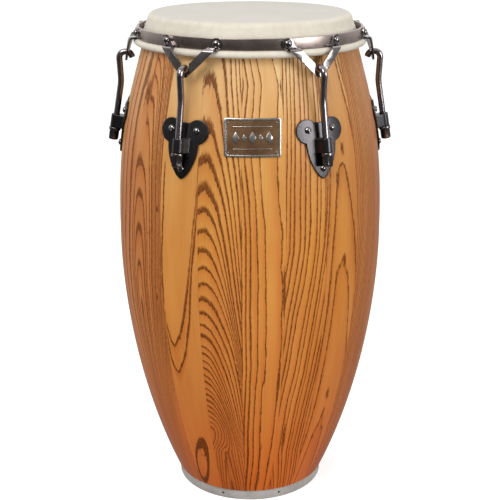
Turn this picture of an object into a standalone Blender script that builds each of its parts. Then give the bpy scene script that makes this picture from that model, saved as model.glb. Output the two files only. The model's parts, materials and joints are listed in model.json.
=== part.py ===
"""A tunable conga drum: stave shell, rawhide head, crown rim and six tuning lugs.

Units are metres. +Z runs up the drum's axis and the origin is the centre of the foot.
Azimuth is counted from the front, -Y, and grows towards +X. Pieces of a lug are drawn
at azimuth 0, where x runs along the shell and -y is the radius, and then turned into place.
"""
import math

import bmesh
import bpy
from mathutils import Matrix, Vector

GAP = 0.0003                       # play left between two pieces that touch
INNER_PLAY = 0.0012                # the same on the inner side of a faceted ring

# Whole drum
DRUM_HEIGHT = 0.762
LUG_COUNT = 6
FIRST_LUG = math.radians(30)
ROUND_SEGMENTS = 40

# Shell: two Bezier curves, foot to belly and belly to bearing edge, as (radius, height)
FOOT_HEIGHT = 0.0176
BELLY_HEIGHT = 0.430
LOWER_CURVE = (Vector((0.1208, FOOT_HEIGHT)), Vector((0.2110, 0.2250)),
               Vector((0.2043, 0.4226)), Vector((0.2043, BELLY_HEIGHT)))
UPPER_CURVE = (Vector((0.2043, BELLY_HEIGHT)), Vector((0.2043, 0.5980)),
               Vector((0.1800, 0.6425)), Vector((0.1497, 0.7595)))
WALL = 0.013                       # measured level, not square to the wall
BEARING_ROUND = 0.008              # outer rounding that the hide turns over
BEARING_RADIUS = 0.1428            # where the rounding meets the flat top of the edge
BEARING_FLAT = 0.0024
INNER_TOP = 0.7500                 # where the inner chamfer of the edge ends
FOOT_REBATE_RADIUS = 0.1156
FOOT_INNER_RADIUS = 0.1065

# Steel band round the foot
BAND_THICKNESS = 0.002
BAND_HEIGHT = FOOT_HEIGHT - GAP

# Head: the hide, and the hoop that it is wrapped round
HIDE = 0.0018
HOOP_RADIUS = 0.1699
HOOP_HEIGHT = 0.7209
HOOP_WIRE = 0.0029
ROLL_START = math.radians(198)     # the hide meets the hoop from below and inside,
ROLL_END = math.radians(475)       # and its cut edge ends on top of it
SKIRT_BEND = Vector((0.1570, 0.7420))
FLAT_RING = 0.100                  # a ring of vertices on the playing surface
BEARING_CENTRE = Vector((BEARING_RADIUS, DRUM_HEIGHT - HIDE - GAP - BEARING_ROUND))

# Crown rim
RIM_OUTER = 0.1695
RIM_THICKNESS = 0.0035
RIM_TOP = 0.7424
RIM_BOTTOM = 0.7262

# V strap: its section as (radius, height) of the middle of the plate, top to bottom
STRAP_PLATE = 0.003
STRAP_FACE = RIM_OUTER + GAP + STRAP_PLATE / 2
STRAP_SECTION = (Vector((STRAP_FACE, 0.7460)), Vector((STRAP_FACE, 0.7280)),
                 Vector((0.1812, 0.7264)), Vector((0.1873, 0.6885)))
STRAP_BOTTOM = 0.6890
STRAP_EAR_REACH = 0.0403           # along the rim, from the lug's middle to the screw
STRAP_EAR_HEIGHT = 0.7350
STRAP_EAR_RADIUS = 0.0082
STRAP_ARM_HALF = 0.0054
STRAP_ARM_ANGLE = math.radians(46)
SLOT_HALF = 0.0064
SLOT_BOTTOM = 0.6950
STRAP_FOOT = Vector((0.0032, 0.0030))  # half width of the blunt point, and the rise beside it
COLUMN = 0.012                     # spacing of the columns that let a plate bend

# Tuning hook: a bent rod whose straight end leans out through the ear of the side plate
ROD_RADIUS = 0.00475
ROD_LEAN = math.radians(9.75)
EAR_RADIUS_AT = 0.2064             # where the rod's axis passes the middle of the ear
EAR_HEIGHT_AT = 0.5968
ROD_END_HEIGHT = 0.5730
ROD_BEND_HEIGHT = 0.6580
HOOK_SHOULDER = Vector((0.1980, 0.7018))
HOOK_CREST_END = Vector((0.1812, 0.7018))
HOOK_TIP = Vector((0.1778, 0.6935))
BEND_RADII = (0.060, 0.009, 0.008)

# Side plate: a heart-shaped backing plate with an ear, as (along the shell, height)
PLATE = 0.003
LOBE_CENTRE = Vector((0.0210, 0.6145))
LOBE_RADIUS = 0.0168
PLATE_NOTCH = 0.6262
PLATE_WAIST = Vector((0.0243, 0.5980))
PLATE_FLANK = (Vector((0.0243, 0.5780)), Vector((0.0130, 0.5570)))
PLATE_TIP_EDGE = Vector((0.0042, 0.5500))
PLATE_TIP = 0.5477
PLATE_ROWS = (0.5750, 0.6000)      # heights at which the plate bends with the shell
EAR_LENGTH = 0.0198
EAR_ROUND = 0.0078
EAR_BASE_HALF = 0.0118
EAR_BASE_DEPTH = 0.0126            # from the rod's axis to the middle of the plate
EAR_BORE = 0.0055

# Flanged lug nut, measured along the rod
NUT_FLANGE_RADIUS = 0.0089
NUT_FLANGE = 0.0045
NUT_LENGTH = 0.0192
NUT_FLATS = 0.0143
NUT_BORE = 0.0053
NUT_TIP_RADIUS = 0.0066
NUT_TIP = 0.0028

# Bolts of the side plate and screws of the strap
BOLT_HEAD = 0.0048
BOLT_HEAD_HEIGHT = 0.0033
BOLT_SHANK = 0.0025
BOLT_HOLE = 0.0028
BOLT_NUT = 0.0064
BOLT_NUT_HEIGHT = 0.005
BOLT_PLACES = {"left": (-0.0200, 0.6165), "right": (0.0200, 0.6165), "low": (0.0, 0.5626)}
SCREW_HEAD = 0.0052
SCREW_HEAD_HEIGHT = 0.0034
SCREW_SHANK = 0.00275
SCREW_HOLE = 0.0035
SCREW_TAIL = 0.0045
SCREW_TAIL_HEIGHT = 0.0012
FASTENER_SIDES = 8

# Badge on the front
BADGE_WIDTH = 0.078
BADGE_LOW = 0.5837
BADGE_HIGH = 0.6357
BADGE_PLATE = 0.0015
BADGE_CORNER = 0.0035


# ---------------------------------------------------------------- materials and objects

def material(name, colour, metallic, roughness):
    made = bpy.data.materials.new(name)
    made.use_nodes = True
    shader = made.node_tree.nodes["Principled BSDF"]
    shader.inputs["Base Color"].default_value = (*colour, 1.0)
    shader.inputs["Metallic"].default_value = metallic
    shader.inputs["Roughness"].default_value = roughness
    return made


def clear_scene():
    for old in list(bpy.data.objects):
        bpy.data.objects.remove(old, do_unlink=True)


def mesh_from(bm, name, smooth_angle=None):
    """Turn a bmesh into a mesh with its faces pointing out."""
    bmesh.ops.recalc_face_normals(bm, faces=bm.faces)
    mesh = bpy.data.meshes.new(name)
    bm.to_mesh(mesh)
    bm.free()
    if smooth_angle is not None:
        mesh.shade_smooth()
        mesh.set_sharp_from_angle(angle=smooth_angle)
    return mesh


def add_object(name, mesh, look, parent=None):
    made = bpy.data.objects.new(name, mesh)
    if not mesh.materials:
        mesh.materials.append(look)
    made.parent = parent
    bpy.context.scene.collection.objects.link(made)
    return made


def add_empty(name, turn=0.0):
    made = bpy.data.objects.new(name, None)
    made.rotation_euler.z = turn
    bpy.context.scene.collection.objects.link(made)
    return made


def cut(target, cutter_mesh, operation="DIFFERENCE"):
    """Add a Boolean with a hidden cutter to an object."""
    cutter = bpy.data.objects.new(target.name + "_cutter", cutter_mesh)
    cutter.hide_render = True
    cutter.display_type = "WIRE"
    bpy.context.scene.collection.objects.link(cutter)
    modifier = target.modifiers.new(operation.title(), "BOOLEAN")
    modifier.operation = operation
    modifier.solver = "EXACT"
    modifier.object = cutter
    return cutter


def evaluated_mesh(source, helpers, name):
    """Keep the result of an object's modifiers as a mesh, and drop the object and its helpers."""
    bpy.context.view_layer.update()
    graph = bpy.context.evaluated_depsgraph_get()
    mesh = bpy.data.meshes.new_from_object(source.evaluated_get(graph))
    mesh.name = name
    for item in (source, *helpers):
        bpy.data.objects.remove(item, do_unlink=True)
    return mesh


# ---------------------------------------------------------------- outlines

def bezier_point(curve, t):
    a, b, c, d = curve
    s = 1.0 - t
    return a * s ** 3 + b * 3 * s * s * t + c * 3 * s * t * t + d * t ** 3


def bezier_points(curve, steps):
    return [bezier_point(curve, i / steps) for i in range(steps + 1)]


def arc(centre, radius, start, end, steps):
    """Points on a circle from one angle to another, both ends included."""
    angles = [start + (end - start) * i / steps for i in range(steps + 1)]
    return [centre + radius * Vector((math.cos(a), math.sin(a))) for a in angles]


def shell_radius(height):
    """Outer radius of the shell at a height, by halving the curve's parameter."""
    curve = LOWER_CURVE if height < BELLY_HEIGHT else UPPER_CURVE
    low, high = 0.0, 1.0
    for _ in range(40):
        middle = (low + high) / 2
        if bezier_point(curve, middle).y < height:
            low = middle
        else:
            high = middle
    return bezier_point(curve, low).x


def shell_normal(height):
    """Outward normal of the shell as (radius, height) parts."""
    step = 0.001
    slope = (shell_radius(height + step) - shell_radius(height - step)) / (2 * step)
    return Vector((1.0, -slope)).normalized()


def on_cylinder(azimuth, radius, height):
    return Vector((radius * math.sin(azimuth), -radius * math.cos(azimuth), height))


def on_shell(along, height, offset):
    """A point at an arc length from azimuth 0, a distance off the shell's surface."""
    radius = shell_radius(height)
    place = Vector((radius, height)) + shell_normal(height) * offset
    return on_cylinder(along / radius, place.x, place.y)


def mirrored(half):
    """Close a half outline, given from the middle line outwards and back, over the middle."""
    other = [Vector((-p.x, p.y)) for p in reversed(half) if abs(p.x) > 1e-9]
    return half + other


# ---------------------------------------------------------------- solids

def revolved(profile, segments, closed=True):
    """Turn a (radius, height) profile about Z. A profile left open starts and ends on the axis."""
    bm = bmesh.new()
    rings = []
    for point in profile:
        if point.x < 1e-9:
            rings.append([bm.verts.new((0, 0, point.y))])
            continue
        turn = 2 * math.pi / segments
        places = [on_cylinder(i * turn, point.x, point.y) for i in range(segments)]
        rings.append([bm.verts.new(place) for place in places])
    pairs = list(zip(rings, rings[1:]))
    if closed:
        pairs.append((rings[-1], rings[0]))
    for lower, upper in pairs:
        for i in range(segments):
            j = (i + 1) % segments
            corners = [lower[i % len(lower)], lower[j % len(lower)]]
            corners += [upper[j % len(upper)], upper[i % len(upper)]]
            unique = list(dict.fromkeys(corners))
            if len(unique) > 2:
                bm.faces.new(unique)
    return bm


def plate_solid(outline, cuts_along, cuts_up, place, inner, outer):
    """A plate of any outline, cut along a grid so that it can bend, between two offsets."""
    flat = bmesh.new()
    flat.faces.new([flat.verts.new((p.x, p.y, 0)) for p in outline])
    lines = [(Vector((value, 0, 0)), Vector((1, 0, 0))) for value in cuts_along]
    lines += [(Vector((0, value, 0)), Vector((0, 1, 0))) for value in cuts_up]
    for point, normal in lines:
        geometry = flat.verts[:] + flat.edges[:] + flat.faces[:]
        bmesh.ops.bisect_plane(flat, geom=geometry, dist=1e-6, plane_co=point, plane_no=normal)
    solid = bmesh.new()
    layers = []
    for offset in (inner, outer):
        layers.append({v: solid.verts.new(place(v.co.x, v.co.y, offset)) for v in flat.verts})
    for face in flat.faces:
        solid.faces.new([layers[0][v] for v in reversed(face.verts)])
        solid.faces.new([layers[1][v] for v in face.verts])
    for edge in flat.edges:
        if edge.is_boundary:
            a, b = edge.verts
            solid.faces.new((layers[0][a], layers[0][b], layers[1][b], layers[1][a]))
    flat.free()
    return solid


def swept_rod(path, radius, sides):
    """A round rod along a path in the plane x = 0, given as (radius, height) points."""
    bm = bmesh.new()
    rings = []
    for i, point in enumerate(path):
        before = path[max(i - 1, 0)]
        after = path[min(i + 1, len(path) - 1)]
        heading = (after - before).normalized()
        side = Vector((heading.y, -heading.x))
        ring = []
        for k in range(sides):
            angle = 2 * math.pi * (k + 0.5) / sides
            at = point + side * radius * math.cos(angle)
            ring.append(bm.verts.new((radius * math.sin(angle), -at.x, at.y)))
        rings.append(ring)
    for lower, upper in zip(rings, rings[1:]):
        for k in range(sides):
            n = (k + 1) % sides
            bm.faces.new((lower[k], lower[n], upper[n], upper[k]))
    bm.faces.new(rings[0])
    bm.faces.new(reversed(rings[-1]))
    return bm


def filleted(corners, radii, steps):
    """Replace the inner corners of a polyline with arcs."""
    path = [corners[0]]
    for before, corner, after, radius in zip(corners, corners[1:], corners[2:], radii):
        into = (corner - before).normalized()
        out = (after - corner).normalized()
        turn = math.acos(max(-1.0, min(1.0, into.dot(out))))
        cross = into.x * out.y - into.y * out.x
        side = Vector((-into.y, into.x)) * (1 if cross > 0 else -1)
        start = corner - into * radius * math.tan(turn / 2)
        centre = start + side * radius
        count = max(2, round(steps * turn / (math.pi / 2)))
        for i in range(count + 1):
            a = turn * i / count
            path.append(centre - side * radius * math.cos(a) + into * radius * math.sin(a))
    path.append(corners[-1])
    return path


def hole_tool(places, radius, reach, sides=FASTENER_SIDES):
    """Cylinders to cut with, one along local Z of each matrix."""
    bm = bmesh.new()
    for place in places:
        bmesh.ops.create_cone(bm, cap_ends=True, segments=sides, radius1=radius, radius2=radius,
                              depth=2 * reach, matrix=place)
    return mesh_from(bm, "hole_tool")


def dome(radius, base, height):
    """Rings of a button head, from its flat crown down to its rim."""
    return ((radius * 0.45, base + height), (radius * 0.85, base + height * 0.62), (radius, base))


def fastener(rings):
    """A turned fastener along local Z, given as (radius, height) rings from its outer end in."""
    points = [Vector(ring) for ring in rings]
    top = Vector((0.0, points[0].y))
    bottom = Vector((0.0, points[-1].y))
    return revolved([top, *points, bottom], FASTENER_SIDES, closed=False)


# ---------------------------------------------------------------- places on a lug

def standing_off(place, normal):
    """A matrix at a point whose local Z is the outward normal, for a fastener."""
    matrix = normal.to_track_quat("Z", "X").to_matrix().to_4x4()
    matrix.translation = place
    return matrix


def bolt_matrix(along, height):
    place = on_shell(along, height, 0.0)
    normal = (on_shell(along, height, 0.01) - place).normalized()
    return standing_off(place, normal)


def screw_matrix(side):
    azimuth = side * STRAP_EAR_REACH / STRAP_FACE
    place = on_cylinder(azimuth, RIM_OUTER, STRAP_EAR_HEIGHT)
    return standing_off(place, on_cylinder(azimuth, 1.0, 0.0))


def rod_matrix():
    """The rod's frame: origin in the middle of the ear, local Z up the rod."""
    place = Matrix.Translation((0, -EAR_RADIUS_AT, EAR_HEIGHT_AT))
    return place @ Matrix.Rotation(-ROD_LEAN, 4, "X")


def rod_radius_at(height):
    return EAR_RADIUS_AT + (EAR_HEIGHT_AT - height) * math.tan(ROD_LEAN)


# ---------------------------------------------------------------- shell, band and badge

def shell_profile():
    outer = bezier_points(LOWER_CURVE, 8) + bezier_points(UPPER_CURVE, 8)[1:]
    outer = [p for p in outer if p.y < BEARING_CENTRE.y - 0.004]
    edge = arc(BEARING_CENTRE, BEARING_ROUND, 0.0, math.pi / 2, 3)
    flat_end = Vector((edge[-1].x - BEARING_FLAT, edge[-1].y))
    inner = bezier_points(UPPER_CURVE, 7)[-2:0:-1] + bezier_points(LOWER_CURVE, 6)[::-1]
    inner = [Vector((p.x - WALL, p.y)) for p in inner]
    inner_top = Vector((shell_radius(INNER_TOP) - WALL, INNER_TOP))
    foot = [Vector((FOOT_INNER_RADIUS, 0.0)), Vector((FOOT_REBATE_RADIUS, 0.0)),
            Vector((FOOT_REBATE_RADIUS, FOOT_HEIGHT))]
    return foot + outer + edge + [flat_end, inner_top] + inner


def make_shell(look):
    mesh = mesh_from(revolved(shell_profile(), ROUND_SEGMENTS), "shell", math.radians(35))
    shell = add_object("shell", mesh, look)
    places = []
    for i in range(LUG_COUNT):
        turn = Matrix.Rotation(lug_azimuth(i), 4, "Z")
        places += [turn @ bolt_matrix(*at) for at in BOLT_PLACES.values()]
    cut(shell, hole_tool(places, BOLT_HOLE, 2 * WALL))


def make_band(look):
    inner = FOOT_REBATE_RADIUS + GAP
    outer = inner + BAND_THICKNESS
    corners = ((inner, 0.0), (outer, 0.0), (outer, BAND_HEIGHT), (inner, BAND_HEIGHT))
    profile = [Vector(corner) for corner in corners]
    mesh = mesh_from(revolved(profile, ROUND_SEGMENTS), "bottom_band", math.radians(35))
    add_object("bottom_band", mesh, look)


def make_badge(look):
    half = Vector((BADGE_WIDTH / 2, (BADGE_HIGH - BADGE_LOW) / 2))
    centre = Vector((0.0, (BADGE_HIGH + BADGE_LOW) / 2))
    outline = []
    for quarter, (x, y) in enumerate(((1, 1), (-1, 1), (-1, -1), (1, -1))):
        corner = centre + Vector((x * (half.x - BADGE_CORNER), y * (half.y - BADGE_CORNER)))
        start = quarter * math.pi / 2
        outline += arc(corner, BADGE_CORNER, start, start + math.pi / 2, 3)
    columns = [half.x * k / 4 for k in range(-3, 4)]
    solid = plate_solid(outline, columns, [centre.y], on_shell, GAP, GAP + BADGE_PLATE)
    add_object("badge_plate", mesh_from(solid, "badge_plate", math.radians(35)), look)


# ---------------------------------------------------------------- head

def offset_outline(path, distance):
    """The path moved sideways by a distance, to the left of its heading."""
    moved = []
    for i, point in enumerate(path):
        before = path[max(i - 1, 0)]
        after = path[min(i + 1, len(path) - 1)]
        heading = (after - before).normalized()
        moved.append(point + Vector((-heading.y, heading.x)) * distance)
    return moved


def hide_path():
    """Middle of the hide, from the axis over the bearing edge and round the hoop."""
    flat_height = DRUM_HEIGHT - HIDE / 2
    turn_radius = BEARING_ROUND + GAP + HIDE / 2
    shoulder = arc(BEARING_CENTRE, turn_radius, math.pi / 2, math.radians(12), 3)
    wrap = HOOP_WIRE + GAP + HIDE / 2
    hoop = Vector((HOOP_RADIUS, HOOP_HEIGHT))
    roll = arc(hoop, wrap, ROLL_START, ROLL_END, 8)
    skirt = [(shoulder[-1] + SKIRT_BEND * 2 + roll[0]) / 4]
    flat = [Vector((0.0, flat_height)), Vector((FLAT_RING, flat_height))]
    return flat + shoulder + skirt + roll


def make_head(look):
    path = hide_path()
    top = offset_outline(path, HIDE / 2)
    under = offset_outline(path, -HIDE / 2)
    for layer in (top, under):
        layer[0].x = 0.0
    bm = revolved(top + under[::-1], ROUND_SEGMENTS, closed=False)
    add_object("rawhide_head", mesh_from(bm, "rawhide_head", math.radians(40)), look)


def make_hoop(look, parent):
    section = arc(Vector((HOOP_RADIUS, HOOP_HEIGHT)), HOOP_WIRE, 0.0, math.radians(300), 5)
    mesh = mesh_from(revolved(section, ROUND_SEGMENTS), "flesh_hoop", math.radians(70))
    add_object("flesh_hoop", mesh, look, parent)


# ---------------------------------------------------------------- crown rim and straps

def make_rim(look, parent):
    inner = RIM_OUTER - RIM_THICKNESS
    corners = ((inner, RIM_BOTTOM), (RIM_OUTER, RIM_BOTTOM), (RIM_OUTER, RIM_TOP), (inner, RIM_TOP))
    profile = [Vector(corner) for corner in corners]
    mesh = mesh_from(revolved(profile, ROUND_SEGMENTS), "crown_rim", math.radians(35))
    rim = add_object("crown_rim", mesh, look, parent)
    places = []
    for i in range(LUG_COUNT):
        turn = Matrix.Rotation(lug_azimuth(i), 4, "Z")
        places += [turn @ screw_matrix(side) for side in (-1, 1)]
    cut(rim, hole_tool(places, SCREW_HOLE, 3 * RIM_THICKNESS))


def strap_half_outline():
    """Half of the V, from the bottom middle out along the arm, round the ear and back."""
    along = Vector((math.cos(STRAP_ARM_ANGLE), math.sin(STRAP_ARM_ANGLE)))
    below = Vector((along.y, -along.x))
    ear = Vector((STRAP_EAR_REACH, STRAP_EAR_HEIGHT))
    lower_edge = ear + below * STRAP_ARM_HALF
    upper_edge = ear - below * STRAP_ARM_HALF
    foot_height = STRAP_BOTTOM + STRAP_FOOT.y
    foot = lower_edge - along * ((lower_edge.y - foot_height) / along.y)
    kink = upper_edge - along * ((upper_edge.x - SLOT_HALF) / along.x)
    meet = math.acos(STRAP_ARM_HALF / STRAP_EAR_RADIUS)
    start = STRAP_ARM_ANGLE - math.pi / 2 - meet
    ear_arc = arc(ear, STRAP_EAR_RADIUS, start, start + math.pi + 2 * meet, 8)
    slot_centre = Vector((0.0, SLOT_BOTTOM + SLOT_HALF))
    slot = arc(slot_centre, SLOT_HALF, 0.0, -math.pi / 2, 3)
    blunt = [Vector((0.0, STRAP_BOTTOM)), Vector((STRAP_FOOT.x, STRAP_BOTTOM))]
    return blunt + [foot] + ear_arc + [kink] + slot


def strap_normals():
    normals = []
    for upper, lower in zip(STRAP_SECTION, STRAP_SECTION[1:]):
        heading = (lower - upper).normalized()
        normals.append(Vector((-heading.y, heading.x)))
    return normals


def on_strap(along, height, offset):
    """A point of the strap: the section gives its radius, and folds are mitred."""
    normals = strap_normals()
    last = len(normals) - 1
    for i, (upper, lower) in enumerate(zip(STRAP_SECTION, STRAP_SECTION[1:])):
        if height >= lower.y - 1e-6 or i == last:
            share = (height - upper.y) / (lower.y - upper.y)
            middle = upper.lerp(lower, share)
            normal = normals[i]
            if abs(height - lower.y) < 1e-5 and i < last:
                normal = (normals[i] + normals[i + 1]) / (1 + normals[i].dot(normals[i + 1]))
            place = middle + normal * offset
            return on_cylinder(along / STRAP_FACE, place.x, place.y)


def strap_mesh(look):
    outline = mirrored(strap_half_outline())
    columns = [COLUMN * k for k in range(-3, 4)]
    folds = [point.y for point in STRAP_SECTION[1:-1]]
    solid = plate_solid(outline, columns, folds, on_strap, -STRAP_PLATE / 2, STRAP_PLATE / 2)
    source = add_object("strap_source", mesh_from(solid, "strap_source"), look)
    places = [screw_matrix(side) for side in (-1, 1)]
    cutter = cut(source, hole_tool(places, SCREW_HOLE, 3 * RIM_THICKNESS))
    return evaluated_mesh(source, [cutter], "rim_strap")


def screw_mesh():
    head = STRAP_PLATE + 2 * GAP
    tail = -(RIM_THICKNESS + INNER_PLAY)
    rings = (*dome(SCREW_HEAD, head, SCREW_HEAD_HEIGHT), (SCREW_SHANK, head), (SCREW_SHANK, tail),
             (SCREW_TAIL, tail), (SCREW_TAIL, tail - SCREW_TAIL_HEIGHT))
    return mesh_from(fastener(rings), "strap_screw", math.radians(35))


# ---------------------------------------------------------------- hooks, plates, nuts, bolts

def hook_mesh():
    straight = [Vector((rod_radius_at(z), z)) for z in (ROD_END_HEIGHT, ROD_BEND_HEIGHT)]
    corners = straight + [HOOK_SHOULDER, HOOK_CREST_END, HOOK_TIP]
    path = filleted(corners, BEND_RADII, 6)
    mesh = mesh_from(swept_rod(path, ROD_RADIUS, 8), "tuning_hook", math.radians(50))
    mesh.transform(rod_matrix().inverted())
    return mesh


def plate_half_outline():
    """Half of the heart, from the notch at the top middle down to the tip."""
    notch = Vector((0.0, PLATE_NOTCH))
    start = math.pi - math.asin((PLATE_NOTCH - LOBE_CENTRE.y) / LOBE_RADIUS)
    waist = PLATE_WAIST - LOBE_CENTRE
    lobe = arc(LOBE_CENTRE, LOBE_RADIUS, start, math.atan2(waist.y, waist.x), 9)
    flank = bezier_points((PLATE_WAIST, *PLATE_FLANK, PLATE_TIP_EDGE), 5)
    return [notch] + lobe + flank[1:] + [Vector((0.0, PLATE_TIP))]


def ear_tool():
    """The ear as a block along the rod, rounded in front and flared at the plate."""
    front = arc(Vector((0.0, 0.0)), EAR_ROUND, 0.0, math.pi, 6)
    section = front + [Vector((side * EAR_BASE_HALF, -EAR_BASE_DEPTH)) for side in (-1, 1)]
    bm = bmesh.new()
    layers = []
    for level in (-EAR_LENGTH / 2, EAR_LENGTH / 2):
        layers.append([bm.verts.new((p.x, -p.y, level)) for p in section])
    count = len(section)
    for i in range(count):
        j = (i + 1) % count
        bm.faces.new((layers[0][i], layers[0][j], layers[1][j], layers[1][i]))
    bm.faces.new(layers[0])
    bm.faces.new(layers[1])
    mesh = mesh_from(bm, "ear_tool")
    mesh.transform(rod_matrix())
    return mesh


def side_plate_mesh(look):
    outline = mirrored(plate_half_outline())
    columns = [COLUMN * k for k in range(-2, 3)]
    solid = plate_solid(outline, columns, PLATE_ROWS, on_shell, GAP, GAP + PLATE)
    source = add_object("plate_source", mesh_from(solid, "plate_source"), look)
    ear = cut(source, ear_tool(), "UNION")
    bolts = [bolt_matrix(*at) for at in BOLT_PLACES.values()]
    holes = cut(source, hole_tool(bolts, BOLT_HOLE, 3 * PLATE))
    bore = cut(source, hole_tool([rod_matrix()], EAR_BORE, EAR_LENGTH))
    return evaluated_mesh(source, [ear, holes, bore], "side_plate")


def nut_mesh():
    """A hexagonal nut with a round flange. Each ring has 12 corners; the hexagon uses all."""
    top = -EAR_LENGTH / 2 - GAP
    sides = 12

    def ring(radius, height, flats=None):
        points = []
        for k in range(sides):
            reach = radius if flats is None or k % 2 == 0 else flats
            angle = 2 * math.pi * k / sides
            points.append(Vector((reach * math.cos(angle), reach * math.sin(angle), height)))
        return points

    corner = NUT_FLATS / 2 / math.cos(math.pi / 6)
    flat = NUT_FLATS / 2
    low = top - NUT_LENGTH
    rings = [ring(NUT_BORE, top), ring(NUT_FLANGE_RADIUS, top),
             ring(NUT_FLANGE_RADIUS, top - NUT_FLANGE), ring(corner, top - NUT_FLANGE, flat),
             ring(corner, low + NUT_TIP, flat), ring(NUT_TIP_RADIUS, low), ring(NUT_BORE, low)]
    bm = bmesh.new()
    layers = [[bm.verts.new(p) for p in points] for points in rings]
    for lower, upper in zip(layers, layers[1:] + layers[:1]):
        for k in range(sides):
            n = (k + 1) % sides
            bm.faces.new((lower[k], lower[n], upper[n], upper[k]))
    return mesh_from(bm, "lug_nut", math.radians(25))


def bolt_mesh():
    head = PLATE + 2 * GAP
    nut = -(WALL + INNER_PLAY)
    end = nut - BOLT_NUT_HEIGHT
    rings = (*dome(BOLT_HEAD, head, BOLT_HEAD_HEIGHT), (BOLT_SHANK, head), (BOLT_SHANK, nut),
             (BOLT_NUT, nut), (BOLT_NUT, end))
    return mesh_from(fastener(rings), "plate_bolt", math.radians(35))


# ---------------------------------------------------------------- assembly

def lug_azimuth(index):
    return FIRST_LUG + index * 2 * math.pi / LUG_COUNT


def make_lugs(looks, crown):
    steel, hardware = looks["fastener"], looks["hardware"]
    strap, screw = strap_mesh(looks["rim"]), screw_mesh()
    plate, bolt = side_plate_mesh(hardware), bolt_mesh()
    hook, nut = hook_mesh(), nut_mesh()
    for i in range(LUG_COUNT):
        number = i + 1
        lug = add_empty(f"lug_{number}", lug_azimuth(i))
        crown_lug = add_empty(f"crown_lug_{number}", lug_azimuth(i))
        crown_lug.parent = crown
        add_object(f"rim_strap_{number}", strap, looks["rim"], crown_lug)
        for label, side in (("left", -1), ("right", 1)):
            made = add_object(f"strap_screw_{number}_{label}", screw, steel, crown_lug)
            made.matrix_local = screw_matrix(side)
        add_object(f"side_plate_{number}", plate, hardware, lug)
        for label, at in BOLT_PLACES.items():
            made = add_object(f"plate_bolt_{number}_{label}", bolt, steel, lug)
            made.matrix_local = bolt_matrix(*at)
        for name, mesh in (("tuning_hook", hook), ("lug_nut", nut)):
            made = add_object(f"{name}_{number}", mesh, looks["rod"], lug)
            made.matrix_local = rod_matrix()


def main():
    clear_scene()
    looks = {
        "wood": material("shell_wood", (0.62, 0.29, 0.09), 0.0, 0.28),
        "hide": material("rawhide", (0.80, 0.74, 0.62), 0.0, 0.55),
        "band": material("band_steel", (0.50, 0.48, 0.46), 1.0, 0.38),
        "hoop": material("hoop_steel", (0.45, 0.45, 0.45), 1.0, 0.35),
        "rim": material("rim_nickel", (0.19, 0.17, 0.17), 1.0, 0.30),
        "rod": material("rod_nickel", (0.12, 0.11, 0.11), 1.0, 0.28),
        "hardware": material("plate_black", (0.035, 0.035, 0.040), 0.6, 0.38),
        "fastener": material("fastener_nickel", (0.32, 0.31, 0.30), 1.0, 0.25),
        "badge": material("badge_bronze", (0.30, 0.20, 0.12), 1.0, 0.35),
    }
    make_shell(looks["wood"])
    make_band(looks["band"])
    make_badge(looks["badge"])
    make_head(looks["hide"])
    crown = add_empty("crown")
    make_hoop(looks["hoop"], crown)
    make_rim(looks["rim"], crown)
    make_lugs(looks, crown)


main()
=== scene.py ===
"""Looks of a tunable conga drum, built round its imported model.

Units are metres and +Z runs up the drum's axis. Azimuth is counted from the front, -Y, and
grows towards +X. Pieces of a lug are made at azimuth 0, where x runs along the shell and
-y is the radius, and then turned into place.
"""

import json
from math import acos, asin, atan2, cos, degrees, hypot, pi, radians, sin, sqrt, tan

import bmesh
import bpy
import numpy as np
from mathutils import Matrix, Vector

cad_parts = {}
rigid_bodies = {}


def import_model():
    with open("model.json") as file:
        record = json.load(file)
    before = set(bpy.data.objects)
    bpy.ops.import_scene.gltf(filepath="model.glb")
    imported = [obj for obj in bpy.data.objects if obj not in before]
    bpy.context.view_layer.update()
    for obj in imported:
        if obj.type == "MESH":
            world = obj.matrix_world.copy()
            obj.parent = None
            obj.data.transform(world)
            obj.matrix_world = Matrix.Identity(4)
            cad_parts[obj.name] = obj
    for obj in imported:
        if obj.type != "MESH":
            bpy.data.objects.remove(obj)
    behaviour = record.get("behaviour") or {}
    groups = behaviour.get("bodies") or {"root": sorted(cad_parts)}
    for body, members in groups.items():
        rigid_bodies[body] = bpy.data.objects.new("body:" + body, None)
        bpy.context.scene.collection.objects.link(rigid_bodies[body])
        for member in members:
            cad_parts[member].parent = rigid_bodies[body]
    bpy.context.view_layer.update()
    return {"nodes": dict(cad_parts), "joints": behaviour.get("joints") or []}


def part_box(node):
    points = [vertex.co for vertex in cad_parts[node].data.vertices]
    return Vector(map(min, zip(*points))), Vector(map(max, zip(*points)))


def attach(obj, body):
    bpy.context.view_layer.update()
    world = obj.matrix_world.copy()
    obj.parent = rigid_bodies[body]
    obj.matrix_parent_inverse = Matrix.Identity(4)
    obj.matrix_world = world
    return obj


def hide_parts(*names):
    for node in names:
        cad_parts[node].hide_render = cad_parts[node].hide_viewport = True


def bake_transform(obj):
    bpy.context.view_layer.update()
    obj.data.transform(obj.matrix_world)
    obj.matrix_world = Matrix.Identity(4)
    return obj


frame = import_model()

TAU = 2 * pi
MM = 0.001

# Bodies and places, read from the frame
RIM_JOINT = next(joint for joint in frame["joints"] if joint["name"] == "rim_slide")
ROOT = RIM_JOINT["parent"]
CROWN = RIM_JOINT["child"]
LUG_COUNT = sum(name.startswith("tuning_hook") for name in frame["nodes"])
HEAD_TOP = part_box("rawhide_head")[1].z
RIM_LOW, RIM_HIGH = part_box("crown_rim")
BAND_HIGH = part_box("bottom_band")[1]
BADGE_LOW, BADGE_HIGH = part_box("badge_plate")
RIM_OUTER = RIM_HIGH.x

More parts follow.
